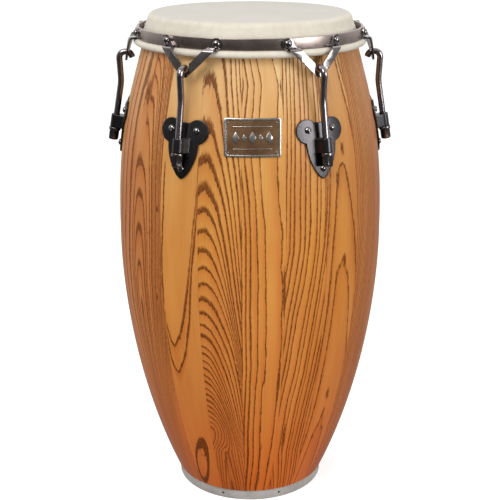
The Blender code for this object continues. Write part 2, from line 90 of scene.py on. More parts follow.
# Shell: the curves of its outside as (radius, height), foot to belly and belly to edge
BELLY_HEIGHT = 0.430
FOOT_HEIGHT = 0.0176
LOWER_CURVE = (Vector((0.1208, FOOT_HEIGHT)), Vector((0.2110, 0.2250)),
               Vector((0.2043, 0.4226)), Vector((0.2043, BELLY_HEIGHT)))
UPPER_CURVE = (Vector((0.2043, BELLY_HEIGHT)), Vector((0.2043, 0.5980)),
               Vector((0.1800, 0.6425)), Vector((0.1497, 0.7595)))
WALL = 0.013
FOOT_REBATE_RADIUS = 0.1156
FOOT_INNER_RADIUS = 0.1065
BAND_NAIL_HEIGHT = 0.009
BAND_NAILS = (-165, -120, -75, -22.5, 22.5, 75, 120, 165)
STAVE_COUNT = 20
FIRST_JOINT = -4.5                 # azimuth in degrees of the joint left of stave 1
STAVE_ANGLE = 360 / STAVE_COUNT

# Head
HIDE = 0.0018
PLAY = 0.0003
BEARING_ROUND = 0.008
BEARING_CENTRE = Vector((0.1428, HEAD_TOP - HIDE - PLAY - BEARING_ROUND))
HOOP = Vector((0.1699, 0.7209))
HOOP_WIRE = 0.0029

# Lugs
STRAP_PLATE = 0.003
STRAP_FACE = RIM_OUTER + PLAY + STRAP_PLATE / 2
STRAP_SECTION = (Vector((STRAP_FACE, 0.7460)), Vector((STRAP_FACE, 0.7280)),
                 Vector((0.1812, 0.7264)), Vector((0.1873, 0.6885)))
STRAP_EAR = Vector((0.0403, 0.7350))
STRAP_EAR_RADIUS = 0.0082
STRAP_ARM_HALF = 0.0054
STRAP_ARM_ANGLE = radians(46)
STRAP_BOTTOM = 0.6890
SLOT_HALF = 0.0064
SLOT_BOTTOM = 0.6950
ROD_RADIUS = 0.00475
THREAD_PITCH = 0.0015875
THREAD_LENGTH = 0.034
THREAD_DEPTH = 0.00062
TIP_CHAMFER = 0.0007
PLATE = 0.003
LOBE_CENTRE = Vector((0.0210, 0.6145))
LOBE_RADIUS = 0.0168
PLATE_NOTCH = 0.6262
PLATE_WAIST = Vector((0.0243, 0.5980))
PLATE_FLANK = (Vector((0.0243, 0.5780)), Vector((0.0130, 0.5570)))
PLATE_TIP_EDGE = Vector((0.0042, 0.5500))
PLATE_TIP = 0.5477
EAR_LENGTH = 0.0198
EAR_ROUND = 0.0078
EAR_BASE = Vector((0.0118, 0.0126))
BOLT_SHANK = 0.0025
BOLT_HOLE = 0.0028
EAR_BORE = 0.0055
NUT_BORE = 0.0052
BOLT_PLACES = {"left": (-0.0200, 0.6165), "right": (0.0200, 0.6165), "low": (0.0, 0.5626)}


# ---------------------------------------------------------------- shapes

def bezier_point(curve, t):
    a, b, c, d = curve
    s = 1.0 - t
    return a * s ** 3 + b * 3 * s * s * t + c * 3 * s * t * t + d * t ** 3


def bezier_points(curve, steps):
    return [bezier_point(curve, i / steps) for i in range(steps + 1)]


def arc(centre, radius, start, end, steps):
    angles = [start + (end - start) * i / steps for i in range(steps + 1)]
    return [centre + radius * Vector((cos(a), sin(a))) for a in angles]


SHELL_LINE = bezier_points(LOWER_CURVE, 100) + bezier_points(UPPER_CURVE, 100)[1:]


def shell_radius(height):
    """Outer radius of the shell at a height; it takes arrays too."""
    return np.interp(height, [p.y for p in SHELL_LINE], [p.x for p in SHELL_LINE])


def shell_normal(height):
    slope = (shell_radius(height + MM) - shell_radius(height - MM)) / (2 * MM)
    return Vector((1.0, -slope)).normalized()


def on_cylinder(azimuth, radius, height):
    return Vector((radius * sin(azimuth), -radius * cos(azimuth), height))


def on_shell(along, height, offset):
    """A point at an arc length from azimuth 0, a distance off the shell's surface."""
    radius = float(shell_radius(height))
    place = Vector((radius, height)) + shell_normal(height) * offset
    return on_cylinder(along / radius, place.x, place.y)


def filleted(corners, radii, steps):
    """Replace the inner corners of a polyline with arcs."""
    path = [corners[0]]
    for before, corner, after, radius in zip(corners, corners[1:], corners[2:], radii):
        into = (corner - before).normalized()
        out = (after - corner).normalized()
        turn = acos(max(-1.0, min(1.0, into.dot(out))))
        cross = into.x * out.y - into.y * out.x
        side = Vector((-into.y, into.x)) * (1 if cross > 0 else -1)
        start = corner - into * radius * tan(turn / 2)
        centre = start + side * radius
        count = max(2, round(steps * turn / (pi / 2)))
        for i in range(count + 1):
            a = turn * i / count
            path.append(centre - side * radius * cos(a) + into * radius * sin(a))
    path.append(corners[-1])
    return path


def rounded_rectangle(low, high, radius, steps=4):
    """A closed (x, y) outline with round corners, counter-clockwise."""
    points = []
    centres = ((high.x - radius, high.y - radius), (low.x + radius, high.y - radius),
               (low.x + radius, low.y + radius), (high.x - radius, low.y + radius))
    for quarter, centre in enumerate(centres):
        start = quarter * pi / 2
        points += arc(Vector(centre), radius, start, start + pi / 2, steps)
    return points


def mirrored(half):
    other = [Vector((-p.x, p.y)) for p in reversed(half) if abs(p.x) > 1e-9]
    return half + other


def mesh_from(bm, name, smooth_angle=35):
    bmesh.ops.remove_doubles(bm, verts=bm.verts, dist=1e-7)
    bmesh.ops.recalc_face_normals(bm, faces=bm.faces)
    mesh = bpy.data.meshes.new(name)
    bm.to_mesh(mesh)
    bm.free()
    mesh.shade_smooth()
    mesh.set_sharp_from_angle(angle=radians(smooth_angle))
    return mesh


def lathe(profile, segments, closed=True):
    """Turn a (radius, height) profile about Z. A profile left open starts and ends on the axis."""
    bm = bmesh.new()
    rings = []
    for radius, height in profile:
        count = segments if radius > 1e-9 else 1
        places = [on_cylinder(i * TAU / count, radius, height) for i in range(count)]
        rings.append([bm.verts.new(place) for place in places])
    pairs = list(zip(rings, rings[1:]))
    if closed:
        pairs.append((rings[-1], rings[0]))
    for lower, upper in pairs:
        for i in range(segments):
            j = (i + 1) % segments
            corners = [lower[i % len(lower)], lower[j % len(lower)]]
            corners += [upper[j % len(upper)], upper[i % len(upper)]]
            unique = list(dict.fromkeys(corners))
            if len(unique) > 2:
                bm.faces.new(unique)
    return bm


def turned(name, profile, segments, smooth_angle=35):
    """A solid of revolution whose profile starts and ends on the axis."""
    return mesh_from(lathe(profile, segments, closed=False), name, smooth_angle)


def dome(radius, base, rise, power, steps=9):
    """The profile of a round head, from its top to its rim."""
    angles = [pi / 2 * i / steps for i in range(steps + 1)]
    return [(radius * sin(angle), base + rise * cos(angle) ** power) for angle in angles]


def hexagon(flats):
    """The section of a hexagonal bar, from its size across flats."""
    corner = flats / 2 / cos(pi / 6)
    return [Vector((corner * cos(TAU * k / 6), corner * sin(TAU * k / 6))) for k in range(6)]


def plate_solid(outline, cuts_along, cuts_up, place, inner, outer):
    """A plate of any outline, cut along a grid so that it can bend, between two offsets."""
    flat = bmesh.new()
    flat.faces.new([flat.verts.new((p.x, p.y, 0)) for p in outline])
    lines = [(Vector((value, 0, 0)), Vector((1, 0, 0))) for value in cuts_along]
    lines += [(Vector((0, value, 0)), Vector((0, 1, 0))) for value in cuts_up]
    for point, normal in lines:
        geometry = flat.verts[:] + flat.edges[:] + flat.faces[:]
        bmesh.ops.bisect_plane(flat, geom=geometry, dist=1e-6, plane_co=point, plane_no=normal)
    solid = bmesh.new()
    layers = []
    for offset in (inner, outer):
        layers.append({v: solid.verts.new(place(v.co.x, v.co.y, offset)) for v in flat.verts})
    for face in flat.faces:
        solid.faces.new([layers[0][v] for v in reversed(face.verts)])
        solid.faces.new([layers[1][v] for v in face.verts])
    for edge in flat.edges:
        if edge.is_boundary:
            a, b = edge.verts
            solid.faces.new((layers[0][a], layers[0][b], layers[1][b], layers[1][a]))
    flat.free()
    return solid


def tube(path, sides, radius_at, caps=True):
    """A round rod along a path in the plane x = 0; radius_at takes (distance, angle)."""
    bm = bmesh.new()
    rings = []
    run = 0.0
    for i, point in enumerate(path):
        before = path[max(i - 1, 0)]
        after = path[min(i + 1, len(path) - 1)]
        if i:
            run += (point - path[i - 1]).length
        heading = (after - before).normalized()
        side = Vector((heading.y, -heading.x))
        ring = []
        for k in range(sides):
            angle = TAU * k / sides
            radius = radius_at(run, angle)
            at = point + side * radius * cos(angle)
            ring.append(bm.verts.new((radius * sin(angle), -at.x, at.y)))
        rings.append(ring)
    for lower, upper in zip(rings, rings[1:]):
        for k in range(sides):
            n = (k + 1) % sides
            bm.faces.new((lower[k], lower[n], upper[n], upper[k]))
    if caps:
        bm.faces.new(rings[0])
        bm.faces.new(reversed(rings[-1]))
    return bm


def prism(section, low, high):
    """A closed prism along Z from an (x, y) section."""
    bm = bmesh.new()
    layers = [[bm.verts.new((p.x, p.y, level)) for p in section] for level in (low, high)]
    for i in range(len(section)):
        j = (i + 1) % len(section)
        bm.faces.new((layers[0][i], layers[0][j], layers[1][j], layers[1][i]))
    bm.faces.new(reversed(layers[0]))
    bm.faces.new(layers[1])
    return bm


def add_object(name, data):
    made = bpy.data.objects.new(name, data)
    bpy.context.scene.collection.objects.link(made)
    return made


def combined(mesh, steps, finish=()):
    """The mesh after Booleans with other meshes and further modifiers, as a new mesh."""
    source = add_object("helper", mesh)
    tools = []
    for operation, other in steps:
        tool = add_object("helper", other)
        tools.append(tool)
        modifier = source.modifiers.new(operation, "BOOLEAN")
        modifier.operation = operation
        modifier.object = tool
    for kind, values in finish:
        modifier = source.modifiers.new(kind, kind)
        for key, value in values.items():
            setattr(modifier, key, value)
    bpy.context.view_layer.update()
    graph = bpy.context.evaluated_depsgraph_get()
    result = bpy.data.meshes.new_from_object(source.evaluated_get(graph))
    for item in (source, *tools):
        bpy.data.objects.remove(item, do_unlink=True)
    result.shade_smooth()
    return result


def bevelled(mesh, width, angle=50, segments=3):
    """The mesh with its sharp edges rounded."""
    values = {"width": width, "segments": segments, "limit_method": "ANGLE",
              "angle_limit": radians(angle), "harden_normals": False}
    result = combined(mesh, (), (("BEVEL", values),))
    result.set_sharp_from_angle(angle=radians(45))
    return result


def piece(name, mesh, look, body, stands_for=(), place=None):
    """Add a finished piece in place, riding on its body."""
    made = add_object(name, mesh)
    if not mesh.materials:
        mesh.materials.append(look)
    if place is not None:
        made.matrix_world = place
    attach(made, body)
    if stands_for:
        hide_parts(*stands_for)
    return made


# ---------------------------------------------------------------- material nodes

class Nodes:
    """Short forms for building a node tree."""

    def __init__(self, tree):
        self.tree = tree

    def node(self, kind, inputs=(), **settings):
        made = self.tree.nodes.new("ShaderNode" + kind)
        for key, value in settings.items():
            setattr(made, key, value)
        for key, value in dict(inputs).items():
            self.feed(made.inputs[key], value)
        return made

    def feed(self, socket, value):
        if isinstance(value, bpy.types.NodeSocket):
            self.tree.links.new(value, socket)
        else:
            socket.default_value = value

    def maths(self, operation, *values):
        return self.node("Math", enumerate(values), operation=operation).outputs[0]

    def plus(self, first, second):
        return self.maths("ADD", first, second)

    def times(self, first, second):
        return self.maths("MULTIPLY", first, second)

    def centred(self, noise):
        return self.maths("SUBTRACT", noise, 0.5)

    def between(self, value, low, high, start=0.0, end=1.0):
        """Smoothly remap low..high to start..end."""
        inputs = enumerate((value, low, high, start, end))
        return self.node("MapRange", inputs, interpolation_type="SMOOTHSTEP").outputs[0]


class Look(Nodes):
    """A material round one Principled shader."""

    def __init__(self, name, **shader_values):
        self.material = bpy.data.materials.new(name)
        self.material.use_nodes = True
        super().__init__(self.material.node_tree)
        self.shader = self.tree.nodes["Principled BSDF"]
        for key, value in shader_values.items():
            self.shader.inputs[key.replace("_", " ")].default_value = value

    def attribute(self, name, output="Fac"):
        return self.node("Attribute", attribute_name=name).outputs[output]

    def noise(self, vector, scale, detail=3.0, roughness=0.55, distortion=0.0):
        inputs = {"Vector": vector, "Scale": scale, "Detail": detail, "Roughness": roughness,
                  "Distortion": distortion}
        return self.node("TexNoise", inputs).outputs[0]

    def streaks(self, vector, stretch, detail, roughness, scale=1.0):
        """Noise drawn out along an axis."""
        stretched = self.node("Mapping", {"Vector": vector, "Scale": stretch}).outputs[0]
        return self.noise(stretched, scale, detail, roughness)

    def mix(self, factor, first, second, blend="MIX"):
        inputs = {0: factor, 6: first, 7: second}
        return self.node("Mix", inputs, data_type="RGBA", blend_type=blend).outputs[2]

    def ramp(self, value, *stops):
        """Colour stops (position, red, green, blue) at values from 0 to 1."""
        made = self.node("ValToRGB", {"Fac": value})
        elements = made.color_ramp.elements
        while len(elements) < len(stops):
            elements.new(0.5)
        for element, (position, *colour) in zip(elements, stops):
            element.position = position
            element.color = rgb(*colour)
        return made.outputs[0]

    def coordinates(self):
        return self.node("TexCoord").outputs["Object"]

    def bump(self, height, distance, strength):
        inputs = {"Height": height, "Distance": distance, "Strength": strength}
        return self.node("Bump", inputs).outputs[0]

    def finish(self, colour, roughness, normal, coat_normal=None):
        wanted = {"Base Color": colour, "Roughness": roughness, "Normal": normal,
                  "Coat Normal": coat_normal}
        for key, value in wanted.items():
            if value is not None:
                self.tree.links.new(value, self.shader.inputs[key])
        return self.material


def rgb(red, green, blue):
    return (red, green, blue, 1.0)


def wood_look():
    """Stained ash under lacquer. The staves carry the growth rings as attributes."""
    look = Look("ash_lacquered", Specular_IOR_Level=0.10, Coat_Weight=0.14, Coat_Roughness=0.18,
                Coat_IOR=1.35)
    fibre = look.attribute("fibre", "Vector")
    names = ("ring", "band", "strength", "mark", "height")
    ring, band, strength, mark, height = [look.attribute(name) for name in names]
    tone = look.between(look.attribute("tone"), -1.0, 1.0)

    # Rings wander a little and have ragged edges
    wander = look.streaks(fibre, (90, 16, 1), 4.0, 0.6)
    jag = look.streaks(fibre, (620, 130, 1), 3.0, 0.65)
    moved = look.maths("MULTIPLY_ADD", look.centred(wander), 0.45, ring)
    ragged = look.times(look.centred(jag), look.times(band, 1.3))
    moved = look.plus(moved, ragged)
    part = look.maths("FRACT", moved)
    chance = look.node("TexWhiteNoise", {"W": look.maths("FLOOR", moved)}, noise_dimensions="1D")
    width = look.times(band, look.between(chance.outputs["Value"], 0.0, 1.0, 0.80, 1.45))
    share = look.maths("DIVIDE", part, width)
    line = look.times(look.between(share, 0.0, 0.22), look.between(share, 0.75, 1.40, 1.0, 0.0))
    line = look.times(line, strength)

    # Open pores break the lines into dashes, and knots are feathered by them
    pores = look.streaks(fibre, (1500, 150, 1), 2.0, 0.5)
    open_pore = look.between(pores, 0.36, 0.60)
    line = look.times(line, look.between(open_pore, 0.0, 1.0, 0.82, 1.0))
    feather = look.streaks(fibre, (420, 110, 1), 4.0, 0.7)
    knot = look.between(look.plus(mark, look.centred(feather)), 0.26, 0.58)
    knot = look.times(knot, look.between(open_pore, 0.0, 1.0, 0.75, 1.0))
    dark = look.maths("MAXIMUM", line, knot)

    # Colour: golden to reddish brown from stave to stave. The ramps over height hold painted light:
    # lighter and yellower near the top edge as painted light from above, and redder towards the foot,
    # partly stain and partly painted shade
    fine = look.streaks(fibre, (700, 14, 1), 3.0, 0.6)
    broad = look.streaks(fibre, (38, 5, 1), 2.0, 0.5)
    golden = look.ramp(height, (0.03, 0.710, 0.176, 0.031), (0.20, 0.580, 0.205, 0.043),
                       (0.45, 0.545, 0.240, 0.047), (0.58, 0.550, 0.288, 0.078),
                       (0.70, 0.635, 0.450, 0.225))
    brown = look.ramp(height, (0.03, 0.590, 0.146, 0.029), (0.30, 0.490, 0.178, 0.050),
                      (0.55, 0.435, 0.165, 0.052), (0.70, 0.530, 0.250, 0.090))
    base = look.mix(tone, golden, brown)
    warmth = look.maths("MULTIPLY_ADD", broad, 0.75, look.times(fine, 0.45))
    cool = look.between(warmth, 0.40, 0.90, 0.0, 0.9)
    base = look.mix(cool, base, rgb(0.84, 0.70, 0.56), "MULTIPLY")
    late = look.times(look.maths("POWER", part, 3.0), strength)
    base = look.mix(look.times(late, 0.6), base, rgb(0.82, 0.52, 0.32), "MULTIPLY")
    stain = look.mix(open_pore, rgb(0.170, 0.036, 0.004), rgb(0.075, 0.014, 0.001))
    colour = look.mix(look.times(dark, 0.95), base, stain)
    rough = look.between(dark, 0.0, 1.0, 0.40, 0.55)
    relief = look.maths("MULTIPLY_ADD", fine, 0.15, look.times(dark, -1.0))
    swell = look.streaks(fibre, (60, 40, 1), 2.0, 0.5)
    return look.finish(colour, rough, look.bump(relief, 0.00022, 0.55),
                       look.bump(swell, 0.0004, 0.16))


def raw_wood_look():
    """The unlacquered inside of the staves."""
    look = Look("ash_raw")
    fibre = look.attribute("fibre", "Vector")
    line = look.between(look.maths("FRACT", look.attribute("ring")), 0.0, 0.35, 0.6, 0.0)
    fine = look.streaks(fibre, (500, 12, 1), 4.0, 0.65)
    base = look.mix(look.between(fine, 0.3, 0.7), rgb(0.52, 0.36, 0.20), rgb(0.38, 0.24, 0.12))
    colour = look.mix(line, base, rgb(0.20, 0.11, 0.05))
    rough = look.between(fine, 0.2, 0.8, 0.62, 0.80)
    return look.finish(colour, rough, look.bump(fine, 0.0004, 0.6))


def rawhide_look():
    """Ivory hide, whiter and darker on the playing face than down the side, which is yellower; the
    darker face is painted shade.
    """
    look = Look("rawhide_ivory", Specular_IOR_Level=0.35, Sheen_Weight=0.05)
    place = look.coordinates()
    cloud = look.noise(place, 17.0, 4.0, 0.55, 0.4)
    vein = look.noise(place, 60.0, 5.0, 0.65, 0.8)
    speck = look.noise(place, 900.0, 2.0, 0.5)
    # The playing face gets a darker colour than the side as painted shade; the side is also yellower in
    # its own colour
    flat = look.mix(look.between(cloud, 0.32, 0.70), rgb(0.475, 0.445, 0.396), rgb(0.518, 0.489, 0.438))
    side = look.mix(look.between(vein, 0.30, 0.72), rgb(0.540, 0.490, 0.402), rgb(0.602, 0.558, 0.474))
    colour = look.mix(look.attribute("skirt"), flat, side)
    colour = look.mix(look.between(vein, 0.56, 0.80, 0.0, 0.22), colour, rgb(0.56, 0.47, 0.34))
    colour = look.mix(look.between(speck, 0.62, 0.78, 0.0, 0.25), colour, rgb(0.47, 0.39, 0.28))
    rough = look.between(cloud, 0.2, 0.8, 0.46, 0.62)
    grain = look.plus(look.times(speck, 0.35), vein)
    return look.finish(colour, rough, look.bump(grain, 0.0005, 0.35))


BRIGHT_NICKEL = (0.62, 0.60, 0.57)
WORN_STEEL = (0.55, 0.53, 0.50)
METALS = {          # material, darkest and lightest colour, roughness, brush marks along
                    # x, y and z, wear, relief in metres, colour of rubbed edges, metallic
    "rim": ("nickel_black_brushed", (0.320, 0.255, 0.235), (0.450, 0.370, 0.345), 0.30,
            (0.35, 0.35, 5), 0.35, 0.00008, BRIGHT_NICKEL, 1.0),
    "strap": ("nickel_black", (0.260, 0.235, 0.235), (0.360, 0.330, 0.328), 0.17,
              (2, 2, 2), 0.30, 0.00004, BRIGHT_NICKEL, 1.0),
    "rod": ("nickel_black_rod", (0.240, 0.212, 0.222), (0.340, 0.302, 0.312), 0.20,
            (3, 3, 0.4), 0.10, 0.00004, BRIGHT_NICKEL, 1.0),
    "plate": ("coating_black", (0.050, 0.047, 0.050), (0.085, 0.080, 0.083), 0.30,
              (1, 1, 1), 0.25, 0.00012, (0.25, 0.24, 0.24), 1.0),
    "nut": ("nickel_black_nut", (0.160, 0.143, 0.143), (0.250, 0.226, 0.222), 0.22,
            (1, 1, 3), 0.25, 0.00005, BRIGHT_NICKEL, 1.0),
    "fastener": ("nickel_bright", (0.240, 0.222, 0.210), (0.340, 0.318, 0.305), 0.13,
                 (2, 2, 2), 0.10, 0.00003, BRIGHT_NICKEL, 1.0),
    "band": ("steel_brushed", (0.42, 0.385, 0.36), (0.60, 0.56, 0.52), 0.40,
             (0.35, 0.35, 6), 0.25, 0.00008, (0.70, 0.68, 0.65), 0.35),
    "hoop": ("steel_drawn", (0.36, 0.36, 0.36), (0.50, 0.50, 0.50), 0.33,
             (1, 1, 1), 0.25, 0.00008, WORN_STEEL, 1.0),
    "border": ("nickel_satin", (0.50, 0.48, 0.45), (0.66, 0.64, 0.60), 0.26,
               (1, 1, 1), 0.20, 0.00008, (0.80, 0.78, 0.75), 1.0),
    "field": ("bronze_brushed", (0.240, 0.125, 0.060), (0.400, 0.235, 0.130), 0.36,
              (0.4, 0.4, 6), 0.0, 0.00008, WORN_STEEL, 1.0),
}


def metal_look(name, dark, light, rough, brush, wear, relief, worn, metallic):
    """A plated or coated metal: brush marks along one direction, and rubbed edges."""
    look = Look(name, Metallic=metallic)
    place = look.coordinates()
    marks = look.streaks(place, brush, 4.0, 0.6, 420.0)
    cloud = look.noise(place, 48.0, 3.0, 0.5)
    both = look.plus(look.times(marks, 0.55), look.times(cloud, 0.45))
    base = look.mix(look.between(both, 0.30, 0.70), rgb(*dark), rgb(*light))
    edge = look.between(look.node("NewGeometry").outputs["Pointiness"], 0.56, 0.68)
    rub = look.times(look.times(edge, look.between(cloud, 0.25, 0.6)), wear)
    colour = look.mix(rub, base, rgb(*worn))
    roughness = look.between(both, 0.2, 0.8, rough - 0.05, rough + 0.07)
    return look.finish(colour, roughness, look.bump(marks, relief, 0.5))


def make_looks():
    looks = {"wood": wood_look(), "raw_wood": raw_wood_look(), "hide": rawhide_look()}
    for key, values in METALS.items():
        looks[key] = metal_look(*values)
    return looks


# ---------------------------------------------------------------- grain of the staves

def ripple(x, y, rng, size, count=7):
    """A smooth field of about -1..1 over arrays in metres, drawn out along the grain."""
    total = np.zeros_like(x)
    for _ in range(count):
        angle, phase = rng.uniform(0, TAU, 2)
        rate = TAU / (size * rng.uniform(0.6, 1.7))
        total += np.sin(rate * (x * cos(angle) + 0.22 * y * sin(angle)) + phase)
    return total / sqrt(count)


def smudges(a, z, *places):
    """Soft elliptical patches: (strength, azimuth in degrees, height, half width, half height)."""
    return sum(strength * np.exp(-((a - azimuth) / wide) ** 2 - ((z - height) / high) ** 2)
               for strength, azimuth, height, wide, high in places)


class Grain:
    """What one stave shows at each point: growth rings, how much of a ring is dark, and marks."""

    def __init__(self, ring, share=0.25, line=0.0012, strength=1.0, mark=0.0, tone=0.0):
        self.ring = ring               # rings counted across the board
        self.share = share             # least dark share of a ring
        self.line = line               # width of a dark line where rings are far apart
        self.strength = strength
        self.mark = mark               # knots and feathered patches
        self.tone = tone               # -1 golden, 1 reddish brown


def arches(u, z, centre, lean, depth, pitch):
    """Flat-sawn rings: the distance to a pith that lies deeper below the face further up."""
    below = np.interp(z, *depth)
    return np.hypot(u - centre - lean * (z - 0.4), below) / pitch


def apex_height(a, z, fall):
    """Height where the arch through each point has its top; fall gives its drop from there."""
    apex = z
    for _ in range(16):
        apex = (apex + z + fall(a, apex)) / 2
    return apex


def through(a, z, places, drift):
    """Rings that pass given azimuths and all wander sideways alike with height."""
    return np.interp(a - np.interp(z, *drift), places, np.arange(len(places), dtype=float))


def bold_lines(a, z):
    """A few heavy lines with wide plain wood between them."""
    drift = ([0.03, 0.08, 0.14, 0.20, 0.27, 0.40, 0.48, 0.52, 0.58, 0.62, 0.68, 0.74],
             [-3.4, -2.3, -1.7, -1.0, -0.1, 0.0, -0.1, -0.9, -2.7, -3.0, -1.0, -4.5])
    ring = through(a, z, [-9.0, -4.6, -3.0, -1.1, 1.9, 5.0, 12.4, 17.0], drift)
    feathers = smudges(a, z, (0.75, 12.9, 0.385, 0.9, 0.05), (0.85, 12.0, 0.235, 0.8, 0.05),
                       (0.6, 13.2, 0.675, 0.8, 0.02), (0.5, 4.4, 0.05, 0.9, 0.03))
    line = np.interp(z, [0.02, 0.10, 0.22], [0.0034, 0.0026, 0.0018])
    return Grain(ring, 0.05, line, mark=feathers, tone=-0.55)


def leaning_lines(a, z):
    """Lines that lean to the left on their way down and turn back at the foot."""
    drift = ([0.02, 0.06, 0.10, 0.15, 0.20, 0.25, 0.30, 0.35, 0.40, 0.45, 0.50, 0.60, 0.70, 0.76],
             [-6.5, -8.5, -10.0, -9.5, -8.5, -6.7, -5.5, -4.0, -2.0, 0.0, 0.6, 1.7, 3.3, 4.0])
    places = [9.5, 11.0, 12.8, 14.6, 16.2, 18.8, 20.8, 22.6, 26.0, 27.8, 30.4, 32.0, 34.5, 36.5,
              38.0, 40.0, 43.0]
    feathers = smudges(a, z, (0.7, 17.8, 0.13, 0.9, 0.04), (0.5, 22.0, 0.68, 0.8, 0.03))
    return Grain(through(a, z, places, drift), 0.15, 0.0016, mark=feathers, tone=-0.35)


def pointed_arches(a, z):
    """Tall arches standing one in another, feathered at their tops."""
    def fall(across, apex):
        x = across - 41.3
        left = np.interp(-x, [0.0, 2.0, 4.0, 5.0, 6.5, 8.0, 10.0],
                         [0.0, 0.012, 0.045, 0.10, 0.175, 0.25, 0.36])
        right = np.interp(x, [0.0, 2.5, 4.5, 6.0, 7.5, 9.0], [0.0, 0.020, 0.070, 0.11, 0.15, 0.20])
        return np.where(x < 0, left, right)

    apex = apex_height(a, z, fall)
    ring = np.interp(apex, [0.0, 0.165, 0.395, 0.57, 0.77, 0.86, 0.96, 1.1],
                     [0.0, 1.0, 2.0, 3.0, 4.0, 5.5, 8.0, 12.0])
    feathers = smudges(a, z, (0.62, 41.4, 0.585, 1.5, 0.016), (0.62, 41.5, 0.418, 1.5, 0.016),
                       (0.62, 41.0, 0.195, 1.5, 0.016), (0.5, 37.6, 0.54, 1.6, 0.02))
    return Grain(ring, 0.05, 0.0030, 0.95, feathers, -0.10)


def stacked_arches(a, z):
    """Many arches one above another that fall away to the right, and fine lines below them."""
    def fall(across, apex):
        start = np.interp(apex, [0.28, 0.33, 0.39, 0.50, 0.60], [-24.0, -23.0, -20.8, -20.0, -19.0])
        depth = np.interp(apex, [0.25, 0.34, 0.39, 0.53, 0.68], [0.120, 0.112, 0.130, 0.245, 0.290])
        power = np.interp(apex, [0.39, 0.53], [2.7, 2.0])
        x = (across - start) / 14.4
        return np.where(x > 0, depth * np.abs(x) ** power, 0.15 * x * x)

    apex = apex_height(a, z, fall)
    ring = np.interp(apex, [0.0, 0.10, 0.20, 0.25, 0.30, 0.36, 0.44, 0.53, 0.62, 0.76, 1.2],
                     [-22.0, -10.0, 0.0, 4.5, 8.5, 11.6, 15.0, 18.0, 20.0, 22.4, 29.0])
    fan = (a + 15.0 + 40 * (z - 0.15) * (a + 15.0) / (1 + np.abs(a + 15.0))) / 1.6
    foot = np.clip((0.155 - z) / 0.05, 0.0, 1.0)
    ring = ring * (1 - foot) + fan * foot
    strength = 1.0 - 0.25 * np.clip((0.20 - z) / 0.05, 0.0, 1.0)
    tone = np.interp(z, [0.0, 0.12, 0.22, 0.5], [0.9, 0.8, 0.0, -0.5])
    return Grain(ring, 0.28, 0.0014, strength, tone=tone)


def deep_loops(a, z):
    """Plain wood with two deep loops, a line beside the joint and a knot near the foot."""
    places = [-40.5, -40.2, -39.5, -38.0, -36.5, -35.0, -32.5, -30.0, -27.0, -25.5, -24.7, -23.3,
              -22.5, -22.0]
    rises = [0.10, 0.05, 0.025, 0.006, 0.0, 0.005, 0.025, 0.055, 0.105, 0.145, 0.185, 0.225,
             0.275, 0.33]
    level = z - np.interp(a, places, rises)
    ring = (level - 0.231) / 0.044 + 1
    inside = np.clip((level - 0.219) / 0.006, 0, 1) * np.clip((0.300 - level) / 0.008, 0, 1)
    side_line = a - np.interp(z, [0.33, 0.42, 0.50, 0.57], [-40.4, -39.9, -38.7, -38.9])
    ends = np.clip((z - 0.34) / 0.02, 0, 1) * np.clip((0.58 - z) / 0.02, 0, 1)
    across, up = a + 33.4, z - 0.070 - 0.0052 * (a + 33.4)
    oval = np.hypot(across / 5.7, up / 0.034)
    core = np.hypot((a + 31.0) / 1.5, (z - 0.093) / 0.010)
    marks = 0.9 * np.exp(-(side_line / 0.42) ** 2) * ends
    marks = marks + (0.80 + 0.03 * across) * np.exp(-((oval - 1.0) / 0.24) ** 2)
    marks = marks + 0.45 * np.exp(-((core - 1.0) / 0.45) ** 2)
    marks = marks + smudges(a, z, (0.5, -22.6, 0.68, 0.8, 0.03))
    return Grain(ring, 0.05, 0.0032, inside, marks, -0.30)


def closed_arches(a, z):
    """Flat-topped arches over two staves, between fine lines on the right and plain wood."""
    centre = np.interp(z, [0.33, 0.50], [-55.6, -54.0])
    width = np.interp(z, [0.05, 0.20, 0.33, 0.45], [0.35, 0.60, 0.95, 1.0])
    x = np.abs(a - centre) / width
    top = np.maximum(27.0 * (z - 0.33), 0.0)
    reach = np.cbrt(x ** 3 + top ** 3)
    left = np.interp(reach, [0, 1.75, 3.4, 4.8, 5.9, 8.4, 14, 24], [0, 1, 2, 3, 4, 5, 6, 8])
    right = np.interp(reach, [0, 1.75, 3.4, 4.8, 5.9, 7.6, 9.5, 22], [0, 1, 2, 3, 4, 5, 7, 29])
    marks = smudges(a, z, (0.95, -42.5, 0.497, 0.6, 0.006), (0.95, -46.9, 0.457, 0.6, 0.006),
                    (0.95, -44.0, 0.360, 0.6, 0.006), (0.5, -55.5, 0.665, 1.6, 0.016),
                    (0.5, -53.0, 0.62, 2.0, 0.012))
    strength = np.interp(z, [0.02, 0.22, 0.34], [0.35, 0.55, 0.95])
    return Grain(np.where(a < centre, left, right), 0.22, 0.0018, strength, marks, 0.45)


def front_grain(number, a, u, z):
    """Staves that face the camera; a is the azimuth in degrees from the front."""
    figures = {1: bold_lines, 2: leaning_lines, 3: pointed_arches, 17: closed_arches,
               18: closed_arches, 19: deep_loops, 20: stacked_arches}
    if number in figures:
        return figures[number](a, z)
    if number == 4:
        drift = np.interp(z, [0.1, 0.2, 0.3, 0.4, 0.5, 0.7], [-12.0, -9.0, -6.0, -3.0, -0.6, 0.0])
        return Grain((a - drift) / 1.25, 0.40, 0.0016, 0.75, tone=0.45)
    ring = arches(u, z, -0.050, 0.030, ([0.0, 0.76], [0.002, 0.030]), 0.0042)
    return Grain(ring, 0.25, strength=0.7, tone=0.75)


FRONT_STAVES = (17, 18, 19, 20, 1, 2, 3, 4, 5)


